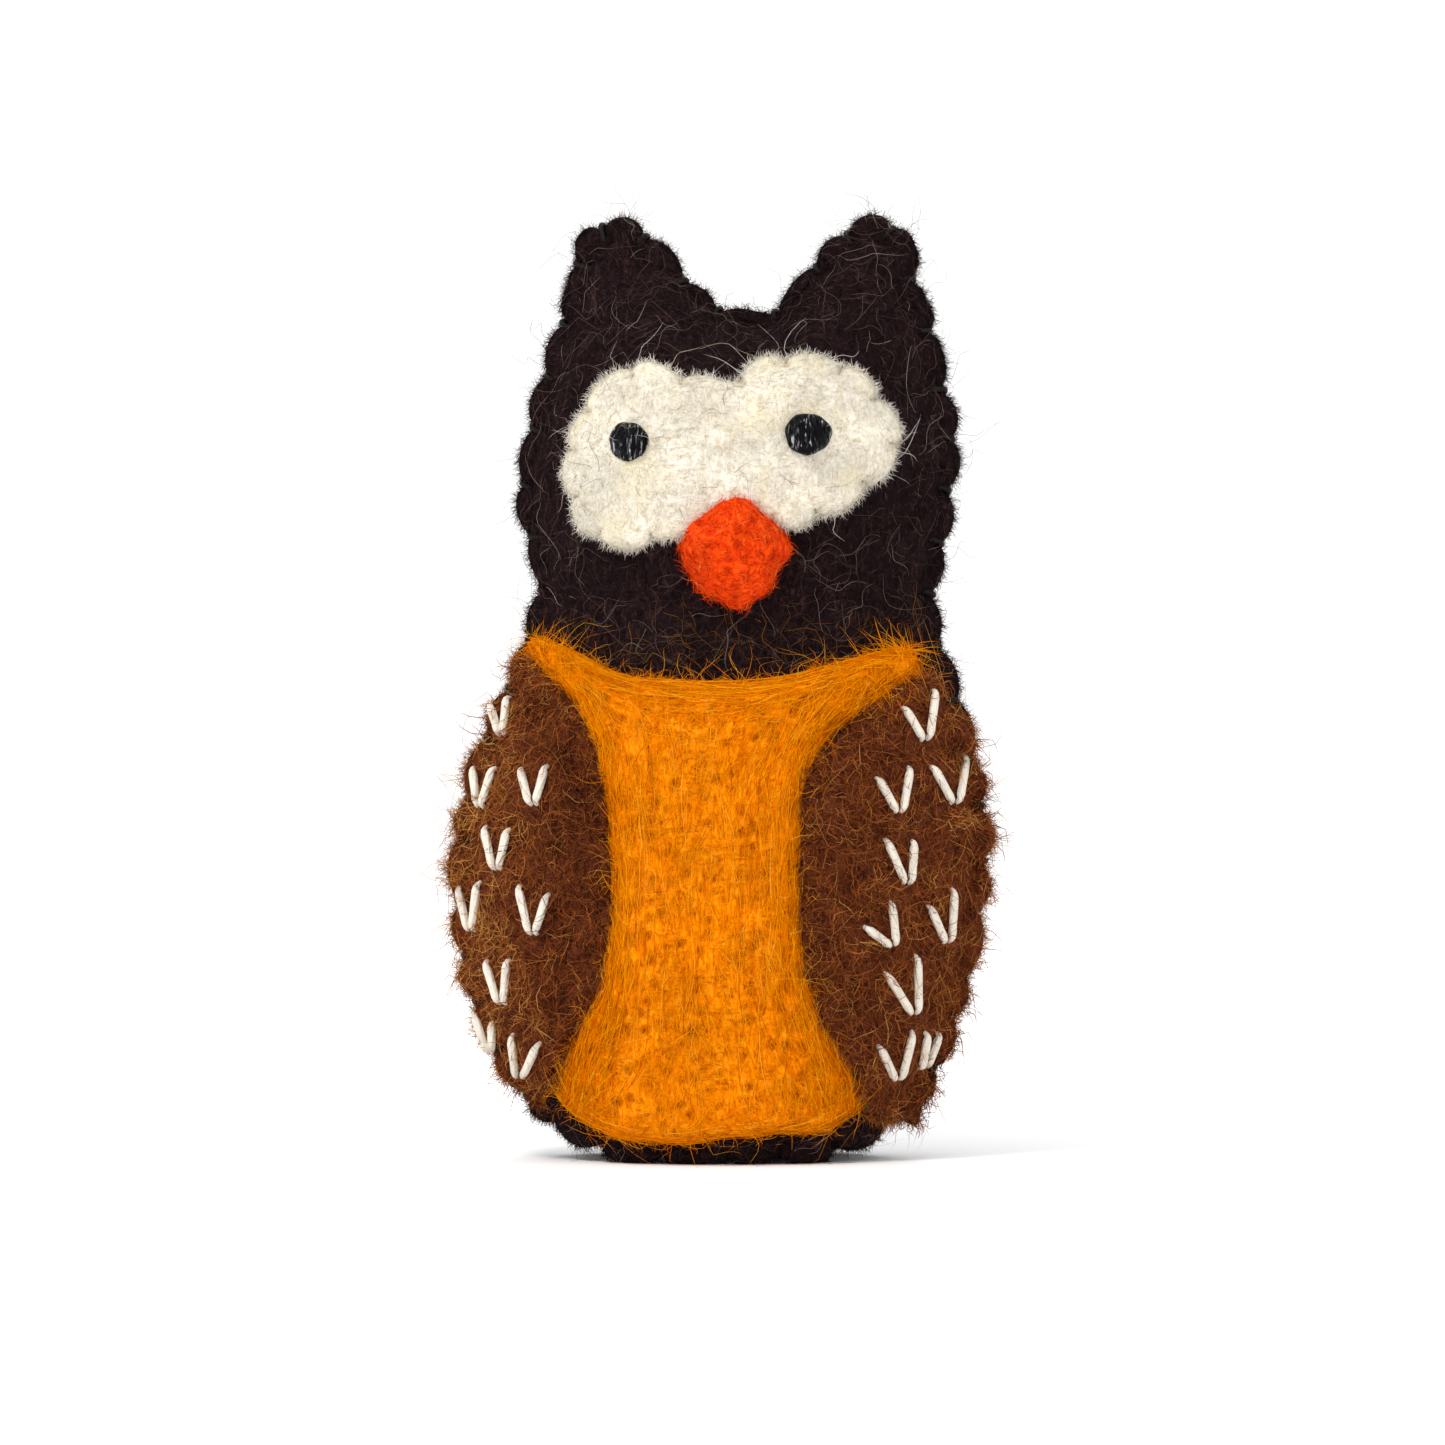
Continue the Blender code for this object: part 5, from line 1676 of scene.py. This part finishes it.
class PUPPET_OT_strays(Puppet, bpy.types.Operator):
    """The long loose fibres that lie over everything"""

    bl_idname = "puppet.strays"
    bl_label = "Loose fibres"

    def make(self):
        thin = 1.0
        front = sheet_grid(panel_spec(-1))
        open_cells = np.where(covered_front(front), 0.0, 1.0)
        dark, brown, yellow = "dark_brown_felt", "mid_brown_felt", "yellow_orange_wool"
        from_neck = (cell_values(front["z"]) - up(48.0)) / (1.8 * MM)
        near_neck = open_cells * np.exp(-(from_neck**2))
        back = sheet_grid(panel_spec(1))
        wings = [sheet_grid(wing_spec(side)) for side in ("left", "right")]
        mask = sheet_grid(mask_spec())
        sets = [
            ("front_loose_fibres", front, None, dark, 900, loose_wool(), open_cells, 0.0),
            ("back_loose_fibres", back, None, dark, 700, loose_wool(), None, -0.08),
            ("left_wing_loose_fibres", wings[0], "torso", brown, 330, brown_wool(), None, 0.3),
            ("right_wing_loose_fibres", wings[1], "torso", brown, 380, brown_wool(), None, 0.3),
            ("neck_loose_fibres", front, None, yellow, 150, golden_wool(), near_neck, 0.0),
            ("mask_loose_fibres", mask, "head", "cream_felt", 160, mask_hair(), None, 0.0),
            ("bib_loose_fibres", bib_grid(), "torso", yellow, 650, bib_wool(), None, 0.2),
        ]
        for number, (name, grid, body, slot, count, material, weight, tilt) in enumerate(sets):
            rng = np.random.default_rng(sizes().seed * 77 + number)
            spot, normal, ups, _ = scatter(grid, int(count * thin), rng, weight)
            ways = ways_at(ups, normal, rng, 0, 90)
            look = look_of(sizes().stray, 10, (3, 22), 0.1, 0.62, 1.6, 1.0, 0.55)
            tint = np.clip(rng.beta(1.5, 2.4, len(spot)) + tilt, 0, 1)
            piece = fibres(name, spot, normal, ways, look, tint, rng, material)
            if body:
                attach(piece, body)
            else:
                ride_neck(piece)


class PUPPET_OT_studio(Puppet, bpy.types.Operator):
    """The pale floor and backdrop, the soft lights and the camera"""

    bl_idname = "puppet.studio"
    bl_label = "Studio"

    def make(self):
        material, _, shader = new_material("matt_white_paper")
        shader.inputs["Base Color"].default_value = (*colours().studio, 1)
        shader.inputs["Roughness"].default_value = 1.0
        shader.inputs["Specular IOR Level"].default_value = 0.0
        run = np.linspace(0, 1, PAPER_ROWS)
        flat = run < PAPER_FLAT
        bend = np.clip((run - PAPER_FLAT) / PAPER_BEND, 0, 1) * math.pi / 2
        level = PAPER_FRONT + run / PAPER_FLAT * (PAPER_BACK - PAPER_FRONT)
        y = np.where(flat, level, PAPER_BACK + PAPER_RADIUS * np.sin(bend))
        wall = np.clip(run - PAPER_FLAT - PAPER_BEND, 0, 1) * PAPER_WALL
        z = np.where(flat, 0.0, PAPER_RADIUS * (1 - np.cos(bend))) + wall
        x = np.array([-PAPER_HALF, PAPER_HALF])
        points = np.stack(np.broadcast_arrays(x[None, :], y[:, None], z[:, None] - 0.02 * MM), axis=-1)
        floor = new_piece("paper_sweep", points.reshape(-1, 3), [grid_faces(PAPER_ROWS, 2)], material)
        floor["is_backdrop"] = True
        world = bpy.data.worlds.new("studio")
        world.use_nodes = True
        world.node_tree.nodes["Background"].inputs[0].default_value = (1, 1, 1, 1)
        world.node_tree.nodes["Background"].inputs[1].default_value = SKY_STRENGTH
        bpy.context.scene.world = world
        bpy.context.scene.view_settings.view_transform = "Standard"
        for lamp in LAMPS:
            self.light(*lamp)
        data = bpy.data.cameras.new("camera")
        data.sensor_width = SENSOR_MM
        data.lens = SENSOR_MM * CAMERA_AWAY / VIEW_WIDE
        data.clip_start, data.clip_end = 0.01, 20
        camera = bpy.data.objects.new("camera", data)
        bpy.context.scene.collection.objects.link(camera)
        lift = math.radians(CAMERA_LIFT_DEG)
        back, raised = CAMERA_AWAY * math.cos(lift), CAMERA_AWAY * math.sin(lift)
        camera.location = (VIEW_MIDDLE_X, -back, VIEW_MIDDLE_Z + raised)
        camera.rotation_euler = (math.pi / 2 - lift, 0, 0)
        bpy.context.scene.camera = camera

    def light(self, name, place, wide, power):
        data = bpy.data.lights.new(name, "AREA")
        data.shape = "DISK"
        data.size = wide
        data.energy = power
        lamp = bpy.data.objects.new(name, data)
        bpy.context.scene.collection.objects.link(lamp)
        lamp.location = place
        aim = np.array(LAMPS_AIM) - np.array(place)
        flat = math.hypot(aim[0], aim[1])
        lamp.rotation_euler = (math.atan2(flat, -aim[2]), 0, math.atan2(-aim[0], aim[1]))


STEPS = (
    PUPPET_OT_studio,
    PUPPET_OT_panels,
    PUPPET_OT_stuffing,
    PUPPET_OT_wings,
    PUPPET_OT_bib,
    PUPPET_OT_mask,
    PUPPET_OT_eyes,
    PUPPET_OT_beak,
    PUPPET_OT_seams,
    PUPPET_OT_feathers,
    PUPPET_OT_nap,
    PUPPET_OT_strays,
)


class PUPPET_PT_panel(bpy.types.Panel):
    """Lists the puppet's sizes, colours and steps"""

    bl_idname = "PUPPET_PT_panel"
    bl_label = "Felt puppet"
    bl_space_type = "VIEW_3D"
    bl_region_type = "UI"
    bl_category = "Puppet"

    def draw(self, context):
        for settings in (context.scene.puppet_sizes, context.scene.puppet_colours):
            for name in settings.__annotations__:
                self.layout.prop(settings, name)
        for step in STEPS:
            self.layout.operator(step.bl_idname)


CLASSES = (PUPPET_PG_sizes, PUPPET_PG_colours, *STEPS, PUPPET_PT_panel)


def register():
    for made in CLASSES:
        bpy.utils.register_class(made)
    bpy.types.Scene.puppet_sizes = PointerProperty(type=PUPPET_PG_sizes)
    bpy.types.Scene.puppet_colours = PointerProperty(type=PUPPET_PG_colours)


def unregister():
    del bpy.types.Scene.puppet_colours
    del bpy.types.Scene.puppet_sizes
    for made in reversed(CLASSES):
        bpy.utils.unregister_class(made)


def main():
    register()
    for step in STEPS:
        group, name = step.bl_idname.split(".")
        getattr(getattr(bpy.ops, group), name)()


if __name__ == "__main__":
    main()
